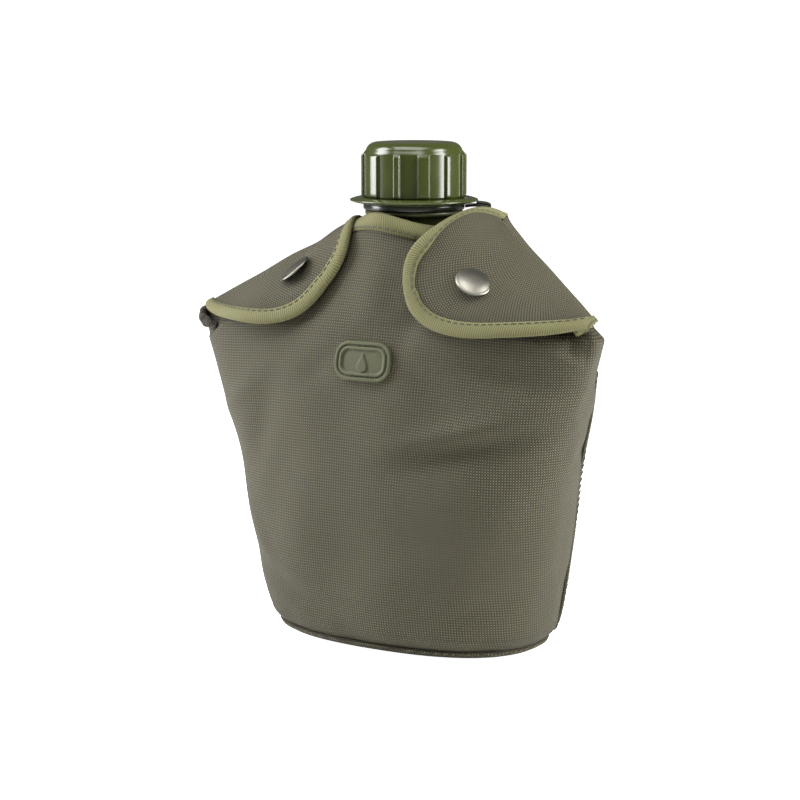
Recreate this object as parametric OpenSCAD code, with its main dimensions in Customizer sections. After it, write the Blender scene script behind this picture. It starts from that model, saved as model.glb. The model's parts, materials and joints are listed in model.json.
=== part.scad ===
// Canteen: a moulded bottle with a screw cap, held in a lined fabric cover.
// Millimetres, +Z up. Origin at the middle of the face it stands on, front facing -Y.

/* [Cover] */
// Half width of the cavity at the two shoulder corners
ear_half_w = 91.5; // [87:0.5:95]
// Height of the shoulder corners
ear_z = 133.5; // [130:0.5:136]
// Half width of the cavity where the shoulders meet the neck opening
neck_half_w = 31; // [29:0.5:34]
// Height where the shoulders meet the neck opening
neck_z = 172; // [168:1:174]
// Height of the top edge of the cover
cover_top_z = 177; // [175.5:0.5:179]
// Thickness of the woven cover cloth
cloth_t = 1.8; // [1.4:0.1:2.2]
// Thickness of the pile lining
pile_t = 2.6; // [2:0.1:3]

/* [Flaps] */
// Thickness of a flap
flap_t = 1.6; // [1.2:0.1:1.8]
// Width of the binding tape on the flap edge
tape_w = 5.5; // [4:0.5:7]
// Diameter of the snap fastener cap
snap_d = 15; // [12:0.5:16]
// Sideways place of the right snap fastener; the left one sits snap_shift nearer the middle
snap_x = 41; // [38:0.5:42]
// Height of the right snap fastener
snap_z = 150.5; // [147:0.5:151.5]

/* [Bottle] */
// Outside diameter of the bottle neck
neck_d = 36; // [34:0.5:37]
// Bore of the bottle neck
mouth_d = 30; // [28:0.5:31]
// Wall of the bottle body
wall = 1.8; // [1.4:0.1:2.4]
// Rise of the screw thread in one turn
pitch = 5; // [4.5:0.25:5.5]

/* [Cap] */
// Outside diameter over the grip ribs
cap_d = 44; // [43.5:0.25:44.5]
// Outside diameter of the cap between the ribs
cap_body_d = 41.6; // [41.4:0.1:42]
// Height of the cap top above the ground
cap_top_z = 208; // [207:0.5:209]
// Number of grip ribs
rib_count = 12; // [10:1:16]
// Outside diameter of the strap ring under the cap
ring_d = 53; // [51:0.5:55]

/* [Rear loops] */
// Width of the belt loop webbing
loop_w = 25; // [20:1:30]
// Sideways place of each belt loop
loop_x = 30; // [26:1:34]
// Lower end of the belt loops
loop_z0 = 30; // [26:1:36]
// Upper end of the belt loops
loop_z1 = 118; // [112:1:122]

/* [Hidden] */
EPS = 0.01;
FINE = 96;
SMOOTH = 48;
FRONT = 270;
cloth_in = 0.6;
cloth_out = cloth_in + cloth_t;
pile_out = cloth_in - 0.5;
pile_in = pile_out - pile_t;
bottle_out = pile_in - 0.8;
flap_in = cloth_out + 2.2;
flap_out = flap_in + flap_t;
base_t = 2.4;
bottle_z0 = base_t + 0.2;
shoulder_z = 166;
neck_top_z = 203.4;
ring_z = 183.4;
ring_t = 2;
cap_z0 = 185.8;
ribs_top_z = 203.4;
thread_z0 = 190.4;
thread_turns = 1.3;
thread_h = 1.1;
neck_r = neck_d / 2;
cap_bore_r = neck_r + thread_h + 0.35;
collar_r = 20.3;
collar_z0 = 182.6;
bead_r = 20.9;
ring_bore_r = collar_r + 0.1;
flange_z = 178.6;
flange_t = 1.5;
neck_ring_z = 180.4;
neck_ring_t = 1.5;

// ---- section tables of the cover cavity: heights and the values at them
Z_W = [0, 3, 14, 44, 78, 104, 120, ear_z];
HALF_W = [54.3, 58.4, 63.4, 69.1, 75.3, 82.1, 86.8, ear_half_w];
Z_MID = [0, 14, 54, 78, 104, 120, ear_z];
MID_Y = [0, -1, -5, -9, -13, -16, -19];
Z_D = [0, 3, 14, 44, 78, 104, 122, 135, 152, 166, cover_top_z + 4];
FRONT_D = [32, 35, 39, 42.5, 43, 41.2, 38.5, 35.2, 29.5, 25.5, 23.5];
BACK_D = [29, 32, 34.5, 36, 36, 34.5, 32.5, 30, 27, 24.5, 23.5];
Z_E = [0, 54, 104, ear_z, 154, cover_top_z + 4];
POWER_X = [0.85, 0.85, 0.93, 1, 1, 1];
POWER_Y = [0.85, 0.85, 0.95, 1.3, 1.2, 1];
Z_K = [0, 8, 26, 94, 124, cover_top_z + 4];
HOLLOW = [0, 0, 5, 5, 1, 0];
HOLLOW_HALF_W = 52;
neck_mid_y = 15;

function lerp(a, b, t) = a + (b - a) * t;
function slot_of(zs, z, i = 0) = (i >= len(zs) - 2 || z < zs[i + 1]) ? i : slot_of(zs, z, i + 1);
function slope(zs, vs, i) =
    let (a = max(i - 1, 0), b = min(i + 1, len(zs) - 1)) (vs[b] - vs[a]) / (zs[b] - zs[a]);
// smooth curve through the values of one table
function curve(zs, vs, z0) =
    let (z = min(max(z0, zs[0]), zs[len(zs) - 1]), i = slot_of(zs, z), h = zs[i + 1] - zs[i],
         t = (z - zs[i]) / h, m0 = slope(zs, vs, i), m1 = slope(zs, vs, i + 1))
    (2 * t ^ 3 - 3 * t ^ 2 + 1) * vs[i] + (t ^ 3 - 2 * t ^ 2 + t) * h * m0
    + (3 * t ^ 2 - 2 * t ^ 3) * vs[i + 1] + (t ^ 3 - t ^ 2) * h * m1;
// above the shoulder corners the wall ends in a straight ridge; a flap follows that ridge all the way
function half_w(z, ridge = false) = z <= ear_z && !ridge ? curve(Z_W, HALF_W, z)
    : lerp(ear_half_w, neck_half_w, (z - ear_z) / (neck_z - ear_z));
function mid_y(z, ridge = false) = z <= ear_z && !ridge ? curve(Z_MID, MID_Y, z)
    : lerp(MID_Y[6], neck_mid_y, (z - ear_z) / (neck_z - ear_z));

// point of the cavity wall at an angle around the axis (270 is the front)
function cavity(a, z, ridge = false) =
    let (c = cos(a), s = sin(a), x = half_w(z, ridge) * sign(c) * pow(abs(c), curve(Z_E, POWER_X, z)),
         q = pow(abs(s), curve(Z_E, POWER_Y, z)), m = mid_y(z, ridge),
         k = curve(Z_K, HOLLOW, z) * pow(max(1 - pow(x / HOLLOW_HALF_W, 2), 0), 2))
    [x, s < 0 ? m - (curve(Z_D, FRONT_D, z) + m) * q : m + (curve(Z_D, BACK_D, z) - m) * q - k, z];
function wall_normal(a, z, ridge = false) =
    let (n = cross(cavity(a + 0.5, z, ridge) - cavity(a - 0.5, z, ridge),
                   cavity(a, z + 0.2, ridge) - cavity(a, z - 0.2, ridge)))
    n / norm(n);
// point standing a distance t off the cavity wall
function skin(a, z, t, ridge = false) = cavity(a, z, ridge) + t * wall_normal(a, z, ridge);
// the same, but kept level: only pushed sideways
function skin_level(a, z, t) =
    let (n = wall_normal(a, z), m = norm([n[0], n[1]])) cavity(a, z) + t / m * [n[0], n[1], 0];
// angle on the front whose cavity point has a sideways place x
function front_angle(x, z, ridge = false) =
    let (c = pow(min(abs(x) / half_w(z, ridge), 1), 1 / curve(Z_E, POWER_X, z)))
    x >= 0 ? 360 - acos(c) : 180 + acos(c);

// faces of a closed slab: two grids of rows x cols points, inner then outer
function grid_faces(rows, cols, shift, flip) = [for (r = [0:rows - 2], c = [0:cols - 2])
    let (i = shift + r * cols + c, q = [i, i + 1, i + cols + 1, i + cols])
    each flip ? [[q[2], q[1], q[0]], [q[3], q[2], q[0]]] : [[q[0], q[1], q[2]], [q[0], q[2], q[3]]]];
function rim_order(rows, cols) = concat([for (c = [0:cols - 1]) c],
    [for (r = [1:rows - 1]) r * cols + cols - 1],
    [for (c = [cols - 2:-1:0]) (rows - 1) * cols + c], [for (r = [rows - 2:-1:1]) r * cols]);
module slab(inner, outer) {
    rows = len(inner);
    cols = len(inner[0]);
    n = rows * cols;
    rim = rim_order(rows, cols);
    m = len(rim);
    polyhedron(
        points = concat([for (r = inner) each r], [for (r = outer) each r]),
        faces = concat(grid_faces(rows, cols, 0, false), grid_faces(rows, cols, n, true),
            [for (k = [0:m - 1]) let (a = rim[k], b = rim[(k + 1) % m])
                each [[b, a, a + n], [b, a + n, b + n]]]));
}
// part of a layer of the cover between two angles and two heights
module layer(a0, a1, z_low, z_high, t0, t1, rows, cols) {
    slab([for (r = [0:rows]) [for (c = [0:cols])
             skin_level(lerp(a0, a1, c / cols), lerp(z_low, z_high, r / rows), t0)]],
         [for (r = [0:rows]) [for (c = [0:cols])
             skin_level(lerp(a0, a1, c / cols), lerp(z_low, z_high, r / rows), t1)]]);
}
// solid stack of closed rings, capped flat at both ends
module ring_stack(rings) {
    rows = len(rings);
    cols = len(rings[0]);
    polyhedron(
        points = [for (r = rings) each r],
        faces = concat(
            [for (r = [0:rows - 2], c = [0:cols - 1])
                let (i = r * cols + c, j = r * cols + (c + 1) % cols)
                each [[i + cols, j, i], [i + cols, j + cols, j]]],
            [[for (c = [0:cols - 1]) c], [for (c = [cols - 1:-1:0]) (rows - 1) * cols + c]]));
}

// ---- bottle
BOTTLE_Z = [bottle_z0, 6, 10, 18, 32, 50, 70, 90, 108, 122, 134, 144, 152, 159, shoulder_z];
bottle_wide = 0.93;
// squeezes the cavity section down to the bottle, whose shoulders are round
function bottle_scale(z) = z < 90 ? bottle_wide
    : lerp(bottle_wide, 0.62, pow((z - 90) / (shoulder_z - 90), 1.7));
function bottle_ring(z, inset, n) =
    let (e = z < 16 ? 5 * pow((16 - z) / (16 - bottle_z0), 2) : 0,
         top = z > 134 ? pow((z - 134) / (shoulder_z - 134), 2) : 0)
    [for (c = [0:n - 1])
        let (a = 360 * c / n, p = skin_level(a, z, bottle_out - inset - e), r = neck_r + 1.4 - inset)
        [lerp(p[0] * bottle_scale(z) / bottle_wide, r * cos(a), top), lerp(p[1], r * sin(a), top), z]];
module thread(r0, r1, z0, turns, half_h) {
    n = round(turns * 36);
    rings = [for (i = [0:n])
        let (a = 360 * turns * i / n, z = z0 + pitch * turns * i / n,
             fade = min(1, i / 5 + 0.15, (n - i) / 5 + 0.15), tip = lerp(r0, r1, fade))
        [[r0 * cos(a), r0 * sin(a), z - half_h], [tip * cos(a), tip * sin(a), z - half_h / 2.4],
         [tip * cos(a), tip * sin(a), z + half_h / 2.4], [r0 * cos(a), r0 * sin(a), z + half_h]]];
    ring_stack(r1 > r0 ? [for (r = rings) [r[3], r[2], r[1], r[0]]] : rings);
}
module bottle_body() color("#4f5336") difference() {
    union() {
        ring_stack([for (z = BOTTLE_Z) bottle_ring(z, 0, 48)]);
        translate([0, 0, shoulder_z - 1])
            cylinder(r = neck_r, h = neck_top_z - shoulder_z + 1, $fn = FINE);
        translate([0, 0, flange_z])
            cylinder(r = neck_r + 2.2, h = flange_t, $fn = FINE);
        thread(neck_r - 0.4, neck_r + thread_h, thread_z0, thread_turns, 1.1);
    }
    ring_stack([for (z = [bottle_z0 + wall, each [for (i = [2:len(BOTTLE_Z) - 2]) BOTTLE_Z[i]],
        shoulder_z - 2]) bottle_ring(z, wall, 40)]);
    translate([0, 0, shoulder_z - 4])
        cylinder(d = mouth_d, h = neck_top_z - shoulder_z + 5, $fn = FINE);
}

// ---- cap, its gasket and its strap
// ribs are broad and narrow by turns
function rib_w(i) = i % 2 == 0 ? 4.6 : 2.6;
first_rib_a = 10;
module cap_shell() color("#5b6136") {
    difference() {
        union() {
            rotate_extrude($fn = FINE)
                polygon([[0, collar_z0], [bead_r - 0.2, collar_z0], [bead_r, collar_z0 + 0.2],
                    [bead_r, collar_z0 + 0.4], [collar_r, collar_z0 + 0.6], [collar_r, cap_z0],
                    [cap_body_d / 2, cap_z0], [cap_body_d / 2, ribs_top_z],
                    [cap_body_d / 2 - 0.6, cap_top_z - 2.4], [cap_body_d / 2 - 1.6, cap_top_z - 0.9],
                    [cap_body_d / 2 - 3.2, cap_top_z - 0.2], [cap_body_d / 2 - 5, cap_top_z],
                    [0, cap_top_z]]);
            for (i = [0:rib_count - 1])
                rotate([0, 0, first_rib_a + 360 * i / rib_count])
                    translate([cap_body_d / 2 - 1, -rib_w(i) / 2, cap_z0])
                        cube([(cap_d - cap_body_d) / 2 + 1, rib_w(i), ribs_top_z - cap_z0]);
        }
        translate([0, 0, collar_z0 - 1])
            cylinder(r = cap_bore_r, h = neck_top_z + 1.6 - collar_z0 + 1, $fn = FINE);
    }
    rotate([0, 0, 180])
        thread(cap_bore_r + 0.4, neck_r + 0.5, thread_z0, 0.8, 0.8);
}
module cap_gasket() color("#3a3b36")
    translate([0, 0, neck_top_z + 0.2])
        difference() {
            cylinder(r = cap_bore_r - 0.05, h = 1.4, $fn = FINE);
            translate([0, 0, -1])
                cylinder(r = mouth_d / 2 - 3, h = 4, $fn = FINE);
        }
module cap_strap_ring() color("#5b6136")
    rotate_extrude($fn = FINE)
        polygon([[ring_bore_r, ring_z], [ring_d / 2 - 1.2, ring_z], [ring_d / 2, ring_z + 0.7],
            [ring_d / 2 - 0.4, ring_z + ring_t - 0.4], [ring_d / 2 - 2, ring_z + ring_t],
            [ring_bore_r, ring_z + ring_t]]);
module neck_strap_ring() color("#22231f")
    rotate_extrude($fn = FINE)
        polygon([[neck_r + 0.1, neck_ring_z], [neck_r + 2.6, neck_ring_z], [neck_r + 3.1, neck_ring_z + 0.6],
            [neck_r + 2.6, neck_ring_z + neck_ring_t], [neck_r + 0.1, neck_ring_z + neck_ring_t]]);
// flat band from the neck ring out and back to the ring under the cap
strap_w = 7;
strap_t = 1.1;
strap_a = 28;
strap_in_r = neck_r + 3.3;
strap_out_r = neck_r + 13;
strap_end_r = ring_d / 2 + 0.3;
module retaining_strap() color("#22231f")
    rotate([0, 0, strap_a])
        translate([0, strap_w / 2, 0])
            rotate([90, 0, 0])
                linear_extrude(strap_w)
                    polygon([[strap_in_r, neck_ring_z], [strap_out_r - 4, neck_ring_z],
                        [strap_out_r - 1, neck_ring_z + 0.6], [strap_out_r, ring_z - 0.6],
                        [strap_out_r - 0.6, ring_z + 0.8], [strap_out_r - 2.4, ring_z + ring_t],
                        [strap_end_r, ring_z + ring_t], [strap_end_r, ring_z + ring_t - strap_t],
                        [strap_out_r - 2.8, ring_z + ring_t - strap_t], [strap_out_r - 1.7, ring_z],
                        [strap_out_r - 1.2, ring_z - 0.8], [strap_out_r - 1.9, neck_ring_z + 1.7],
                        [strap_out_r - 4.4, neck_ring_z + strap_t], [strap_in_r, neck_ring_z + strap_t]]);

// ---- cover cloth and lining
bib_rise = 6;
function front_top(a) = cover_top_z - 3 + bib_rise * pow(max(0, cos((a - FRONT) * 1.4)), 3);
function front_point(u, v, t) =
    let (a = lerp(180.6, 359.4, v)) skin_level(a, lerp(base_t + 0.1, front_top(a), u), t);
module front_panel() color("#59573f")
    slab([for (r = [0:26]) [for (c = [0:36]) front_point(r / 26, c / 36, cloth_in)]],
         [for (r = [0:26]) [for (c = [0:36]) front_point(r / 26, c / 36, cloth_out)]]);
module back_panel() color("#59573f")
    layer(0.6, 179.4, base_t + 0.1, cover_top_z, cloth_in, cloth_out, 26, 36);
lining_top_z = 126;
module front_lining() color("#7b6d55")
    layer(183, 357, bottle_z0, lining_top_z, pile_in, pile_out, 14, 34);
module back_lining() color("#7b6d55")
    layer(3, 177, bottle_z0, lining_top_z, pile_in, pile_out, 14, 34);
module base_panel() color("#55543c")
    ring_stack([for (z = [0, 0.8, base_t])
        [for (c = [0:71])
            let (p = skin_level(c * 5, 0, cloth_out - (z == 0 ? 1.6 : 0)))
                [p[0], p[1], z]]]);

// ---- tapes over the raw edges and seams
tape_h = 7;
tape_gap = 0.25;
tape_t = 0.9;
module front_neck_tape() color("#6b6a49")
    slab([for (k = [-tape_h, 0]) [for (c = [0:24]) neck_tape_pt(lerp(208, 332, c / 24), k, tape_gap)]],
         [for (k = [-tape_h, 0]) [for (c = [0:24]) neck_tape_pt(lerp(208, 332, c / 24), k, tape_t)]]);
function neck_tape_pt(a, k, t) = skin_level(a, front_top(a) + k, cloth_out + t);
module back_neck_tape() color("#6b6a49")
    layer(25, 155, cover_top_z - tape_h, cover_top_z, cloth_out + tape_gap, cloth_out + tape_t, 1, 24);
side_tape_z0 = 6;
side_tape_z1 = ear_z - 4;
side_tape_a = 5;
module side_tape(a) color("#57563e")
    layer(a - side_tape_a, a + side_tape_a, side_tape_z0, side_tape_z1,
        cloth_out + tape_gap, cloth_out + tape_t, 18, 4);
module left_side_tape() side_tape(180);
module right_side_tape() side_tape(360);
// welt over the seam between the base panel and the walls
welt_z0 = 0.3;
welt_z1 = 4;
module base_welt() color("#504f38")
    difference() {
        welt_solid(tape_t);
        translate([0, 0, -EPS])
            welt_solid(tape_gap, 2 * EPS);
    }
module welt_solid(t, grow = 0)
    ring_stack([for (z = [welt_z0 - grow, (welt_z0 + welt_z1) / 2, welt_z1 + 2 * grow])
        [for (c = [0:71])
            let (p = skin_level(c * 5, z, cloth_out + t))
                [p[0], p[1], z]]]);

// ---- flaps: the ridge runs from the neck opening down to the shoulder corner
RIDGE_A = [neck_half_w, neck_z];
RIDGE_B = [ear_half_w, ear_z];
ridge_dir = (RIDGE_B - RIDGE_A) / norm(RIDGE_B - RIDGE_A);
ridge_down = [ridge_dir[1], -ridge_dir[0]];
// edges of the flaps as [distance along the ridge, distance below it]; the right flap hangs lower
RIGHT_NECK = [[0, 0.5], [-16, -1], [-17, 19], [2, 30]];
RIGHT_FOOT = [[2, 30], [18, 39], [42, 23.5], [69, 0]];
LEFT_NECK = [[-5, 1], [-19, 4], [-13, 18], [4, 25]];
LEFT_FOOT = [[4, 25], [21, 34], [40, 29], [69, 1]];
ROOT_GAP = 0.6;
function bezier(p, t) = (1 - t) ^ 3 * p[0] + 3 * (1 - t) ^ 2 * t * p[1] + 3 * (1 - t) * t ^ 2 * p[2]
    + t ^ 3 * p[3];
function flap_edge(u, side) = u < 0.5 ? bezier(side > 0 ? RIGHT_NECK : LEFT_NECK, 2 * u)
    : bezier(side > 0 ? RIGHT_FOOT : LEFT_FOOT, 2 * u - 1);
// the right flap stands up a little where it passes the neck
NECK_LIFT = 5;
function flap_lift(q, side) = side > 0 ? NECK_LIFT * exp(-pow((q[0] + 4) / 7, 2) - pow(q[1] / 9, 2)) : 0;
function flap_wall(q, t, side) =
    let (p = RIDGE_A + q[0] * ridge_dir + q[1] * ridge_down,
         w = skin(front_angle(p[0], p[1], true), p[1], t + flap_lift(q, side), true))
    [side * w[0], w[1], w[2]];
// point of the flap: u runs along the edge, v from the ridge to the edge
function flap_pt(u, v, t, side) =
    let (r = [lerp(2, 67, u), ROOT_GAP]) flap_wall(lerp(r, flap_edge(u, side), v), t, side);
module flap(side) color("#6d6a50") {
    inner = [for (v = [0:9]) [for (u = [0:30]) flap_pt(0.03 + 0.94 * u / 30, v / 9, flap_in, side)]];
    outer = [for (v = [0:9]) [for (u = [0:30]) flap_pt(0.03 + 0.94 * u / 30, v / 9, flap_out, side)]];
    slab(side > 0 ? outer : inner, side > 0 ? inner : outer);
}
// tape on the outside of a flap's edge
FLAP_MIDDLE = [26, 10];
module flap_tape(side) color("#75734d") {
    t0 = flap_out + 2 * tape_gap;
    t1 = flap_out + tape_gap + tape_t;
    edge = [for (k = [tape_w, tape_w / 2, 0]) [for (u = [0:36]) flap_tape_pt(u / 36, k, t0, side)]];
    over = [for (k = [tape_w, tape_w / 2, 0]) [for (u = [0:36]) flap_tape_pt(u / 36, k, t1, side)]];
    slab(side > 0 ? over : edge, side > 0 ? edge : over);
}
function flap_tape_pt(u, inset, t, side) =
    let (e = flap_edge(0.06 + 0.88 * u, side), d = FLAP_MIDDLE - e)
    flap_wall(e + d * inset / norm(d), t, side);
module left_flap() flap(-1);
module right_flap() flap(1);
module left_flap_tape() flap_tape(-1);
module right_flap_tape() flap_tape(1);

// ---- snap fasteners, drawn along +Z and turned to stand on the cover
snap_shift = 2.5;
snap_rise = 1;
module on_front(side, t) {
    z = side > 0 ? snap_z : snap_z + snap_rise;
    a = front_angle(side > 0 ? snap_x : snap_x - snap_shift, z);
    p = skin(a, z, t);
    n = wall_normal(a, z);
    tilt = acos(n[2]);
    turn = atan2(n[1], side * n[0]);
    translate([side * p[0], p[1], p[2]])
        rotate([0, tilt, turn])
            children();
}
module snap_cap(side) color("#6e6c66")
    on_front(side, flap_out + 0.5)
        rotate_extrude($fn = SMOOTH)
            polygon([[0, 0], [snap_d / 2 - 0.5, 0], [snap_d / 2, 0.4], [snap_d / 2 - 0.3, 1],
                [snap_d / 2 - 1.6, 1.6], [snap_d / 4, 2.1], [0, 2.2]]);
socket_r = 6;
socket_bore_r = 4;
socket_h = flap_in - cloth_out - 1.25;
stud_r = 2.4;
module snap_socket(side) color("#8a877e")
    on_front(side, cloth_out + 0.6)
        rotate_extrude($fn = SMOOTH)
            polygon([[socket_bore_r, 0], [socket_r - 0.4, 0], [socket_r, 0.4],
                [socket_r, socket_h], [socket_bore_r, socket_h]]);
module snap_stud(side) color("#8a877e")
    on_front(side, cloth_out + 0.1)
        rotate_extrude($fn = SMOOTH)
            polygon([[0, 0], [5.4, 0], [5.4, 0.3], [stud_r - 0.4, 0.4], [stud_r, 1.1], [stud_r - 0.4, 1.6],
                [0, 1.7]]);
module left_snap_cap() snap_cap(-1);
module right_snap_cap() snap_cap(1);
module left_snap_socket() snap_socket(-1);
module right_snap_socket() snap_socket(1);
module left_snap_stud() snap_stud(-1);
module right_snap_stud() snap_stud(1);

// ---- rubber patch on the front, with a raised rim and a plain field
patch_w = 28;
patch_h = 17;
patch_z = 122;
patch_t = 1.2;
module patch_layer(w, h, t0, t1) {
    y0 = -curve(Z_D, FRONT_D, patch_z) - cloth_out - t0;
    lean = atan((curve(Z_D, FRONT_D, patch_z - 6) - curve(Z_D, FRONT_D, patch_z + 6)) / 12);
    translate([0, y0, patch_z])
        rotate([90 - lean, 0, 0])
            linear_extrude(t1 - t0)
                rounded_bar(w, h);
}
module rounded_bar(w, h) {
    r = 5;
    square([w - 2 * r, h], center = true);
    square([w, h - 2 * r], center = true);
    for (x = [-1, 1], y = [-1, 1])
        translate([x * (w / 2 - r), y * (h / 2 - r)])
            circle(r, $fn = SMOOTH);
}
module front_patch() color("#494c2c") difference() {
    patch_layer(patch_w, patch_h, 0.4, 0.4 + patch_t + 0.5);
    patch_layer(patch_w - 4, patch_h - 4, 0.4 + patch_t, 3);
}

// ---- belt loops: webbing stitched down at both ends on the back
loop_t = 1.4;
loop_stand = 8;
loop_foot = 13;
function back_y(x, z) = let (c = pow(abs(x) / half_w(z), 1 / curve(Z_E, POWER_X, z)))
    skin(acos(min(c, 1)), z, cloth_out)[1];
function loop_back(z) = max([for (k = [-1, 0, 1]) back_y(loop_x + k * loop_w / 2, z)]);
function loop_y(f, t) = let (z = lerp(loop_z0, loop_z1, f), r = loop_foot / (loop_z1 - loop_z0),
    e = min(max(min(f - r, 1 - r - f) / 0.1, 0), 1)) loop_back(z) + 0.2 + t + loop_stand * (3 - 2 * e) * e * e;
module belt_loop(side) color("#62603f")
    translate([side * loop_x - loop_w / 2, 0, 0])
        rotate([90, 0, 90])
            linear_extrude(loop_w)
                polygon(concat(
                    [for (i = [0:30]) [loop_y(i / 30, 0), lerp(loop_z0, loop_z1, i / 30)]],
                    [for (i = [30:-1:0]) [loop_y(i / 30, loop_t), lerp(loop_z0, loop_z1, i / 30)]]));
module left_belt_loop() belt_loop(-1);
module right_belt_loop() belt_loop(1);

bottle_body();
neck_strap_ring();
retaining_strap();
cap_strap_ring();
cap_shell();
cap_gasket();
front_panel();
back_panel();
base_panel();
base_welt();
front_lining();
back_lining();
front_neck_tape();
back_neck_tape();
left_side_tape();
right_side_tape();
left_flap();
right_flap();
left_flap_tape();
right_flap_tape();
left_snap_cap();
right_snap_cap();
left_snap_socket();
right_snap_socket();
left_snap_stud();
right_snap_stud();
front_patch();
left_belt_loop();
right_belt_loop();
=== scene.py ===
"""Looks of the canteen: a moulded bottle with a screw cap in a lined cloth cover with snapped flaps."""

import json
import logging
import math
from dataclasses import dataclass, field, replace
from enum import Enum

import bmesh
import bpy
import numpy as np
from mathutils import Matrix, Vector


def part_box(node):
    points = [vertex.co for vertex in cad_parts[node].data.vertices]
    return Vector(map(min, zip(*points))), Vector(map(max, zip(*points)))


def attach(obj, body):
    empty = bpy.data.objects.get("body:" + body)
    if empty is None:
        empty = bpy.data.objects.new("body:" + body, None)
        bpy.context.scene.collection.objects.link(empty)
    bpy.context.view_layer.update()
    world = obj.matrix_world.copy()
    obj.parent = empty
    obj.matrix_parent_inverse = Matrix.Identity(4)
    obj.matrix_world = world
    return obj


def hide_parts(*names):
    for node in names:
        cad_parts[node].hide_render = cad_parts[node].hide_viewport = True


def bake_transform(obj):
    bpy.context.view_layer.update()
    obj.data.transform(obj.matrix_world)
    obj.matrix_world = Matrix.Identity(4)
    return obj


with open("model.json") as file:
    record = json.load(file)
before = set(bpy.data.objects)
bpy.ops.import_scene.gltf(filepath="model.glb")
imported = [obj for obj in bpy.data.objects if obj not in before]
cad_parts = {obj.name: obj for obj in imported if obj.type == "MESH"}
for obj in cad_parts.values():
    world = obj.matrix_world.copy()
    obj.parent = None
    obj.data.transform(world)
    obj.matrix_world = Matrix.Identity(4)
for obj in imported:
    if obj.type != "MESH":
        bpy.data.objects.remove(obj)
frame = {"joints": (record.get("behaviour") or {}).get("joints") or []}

LOG = logging.getLogger("canteen")
MM = 0.001
TAU = 2 * math.pi
Array = np.ndarray


# ---------------------------------------------------------------- colours and node helpers
def srgb(code: str) -> tuple[float, float, float, float]:
    """Turn an sRGB hex colour into linear RGBA.

    Args:
        code: six hex digits after a hash sign.
    Returns:
        Linear red, green, blue and an alpha of 1.
    """
    raw = [int(code[i:i + 2], 16) / 255 for i in (1, 3, 5)]
    lin = [c / 12.92 if c <= 0.04045 else ((c + 0.055) / 1.055) ** 2.4 for c in raw]
    return (*lin, 1.0)


class Nodes:
    """A material's node tree, with one short way of adding a node."""

    def __init__(self, name: str) -> None:
        """Start an empty tree with a Principled surface.

        Args:
            name: the material's name.
        """
        self.material = bpy.data.materials.new(name)
        self.material.use_nodes = True
        self.tree = self.material.node_tree
        self.shader = self.tree.nodes["Principled BSDF"]

    def add(self, kind: str, settings: dict | None = None, **links: object) -> bpy.types.Node:
        """Add a node, set its properties and fill or link its inputs.

        Args:
            kind: node type without the ShaderNode prefix.
            settings: properties of the node, such as its operation.
            **links: input name, or in0, in1 for its number, with a value or an output socket.
        Returns:
            The new node.
        """
        node = self.tree.nodes.new("ShaderNode" + kind)
        for key, value in (settings or {}).items():
            setattr(node, key, value)
        for key, value in links.items():
            index = int(key[2:]) if key[:2] == "in" and key[2:].isdigit() else None
            socket = node.inputs[index] if index is not None else node.inputs[key.replace("_", " ")]
            self.join(value, socket)
        return node

    def join(self, value: object, socket: bpy.types.NodeSocket) -> None:
        """Link an output to a socket, or write a plain value to it.

        Args:
            value: an output socket, or a number or tuple.
            socket: the input to fill.
        """
        if isinstance(value, bpy.types.NodeSocket):
            self.tree.links.new(value, socket)
        else:
            socket.default_value = value

    def math(self, operation: str, a: object, b: object = 0.0, c: object = 0.0) -> bpy.types.NodeSocket:
        """Add a Math node.

        Args:
            operation: the node's operation.
            a: first input.
            b: second input.
            c: third input.
        Returns:
            Its output socket.
        """
        return self.add("Math", {"operation": operation}, in0=a, in1=b, in2=c).outputs[0]

    def blend(self, factor: object, a: object, b: object, mode: str = "MIX") -> bpy.types.NodeSocket:
        """Mix two colours.

        Args:
            factor: share of the second colour.
            a: first colour.
            b: second colour.
            mode: how they are mixed.
        Returns:
            The mixed colour's socket.
        """
        node = self.add("Mix", {"data_type": "RGBA", "blend_type": mode})
        self.join(factor, node.inputs[0])
        self.join(a, node.inputs[6])
        self.join(b, node.inputs[7])
        return node.outputs[2]

    def noise(self, where: object, scale: float, detail: float = 3.0,
              rough: float = 0.55) -> bpy.types.NodeSocket:
        """Add a noise texture.

        Args:
            where: coordinate socket.
            scale: cycles per metre of the coordinate.
            detail: number of octaves.
            rough: strength of the finer octaves.
        Returns:
            The noise value's socket.
        """
        node = self.add("TexNoise", None, Vector=where, Scale=scale, Detail=detail, Roughness=rough)
        return node.outputs[0]

    def finish(self, height: object = None, strength: float = 0.5, distance: float = 0.0004,
               **inputs: object) -> bpy.types.Material:
        """Fill the surface's inputs and add its bump.

        Args:
            height: height socket of the bump, or None.
            strength: strength of the bump.
            distance: depth in metres that a height of one stands for.
            **inputs: surface inputs by name.
        Returns:
            The finished material.
        """
        for key, value in inputs.items():
            self.join(value, self.shader.inputs[key.replace("_", " ")])
        if height is not None:
            bump = self.add("Bump", None, Strength=strength, Distance=distance, Height=height)
            self.join(bump.outputs[0], self.shader.inputs["Normal"])
        return self.material


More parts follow.
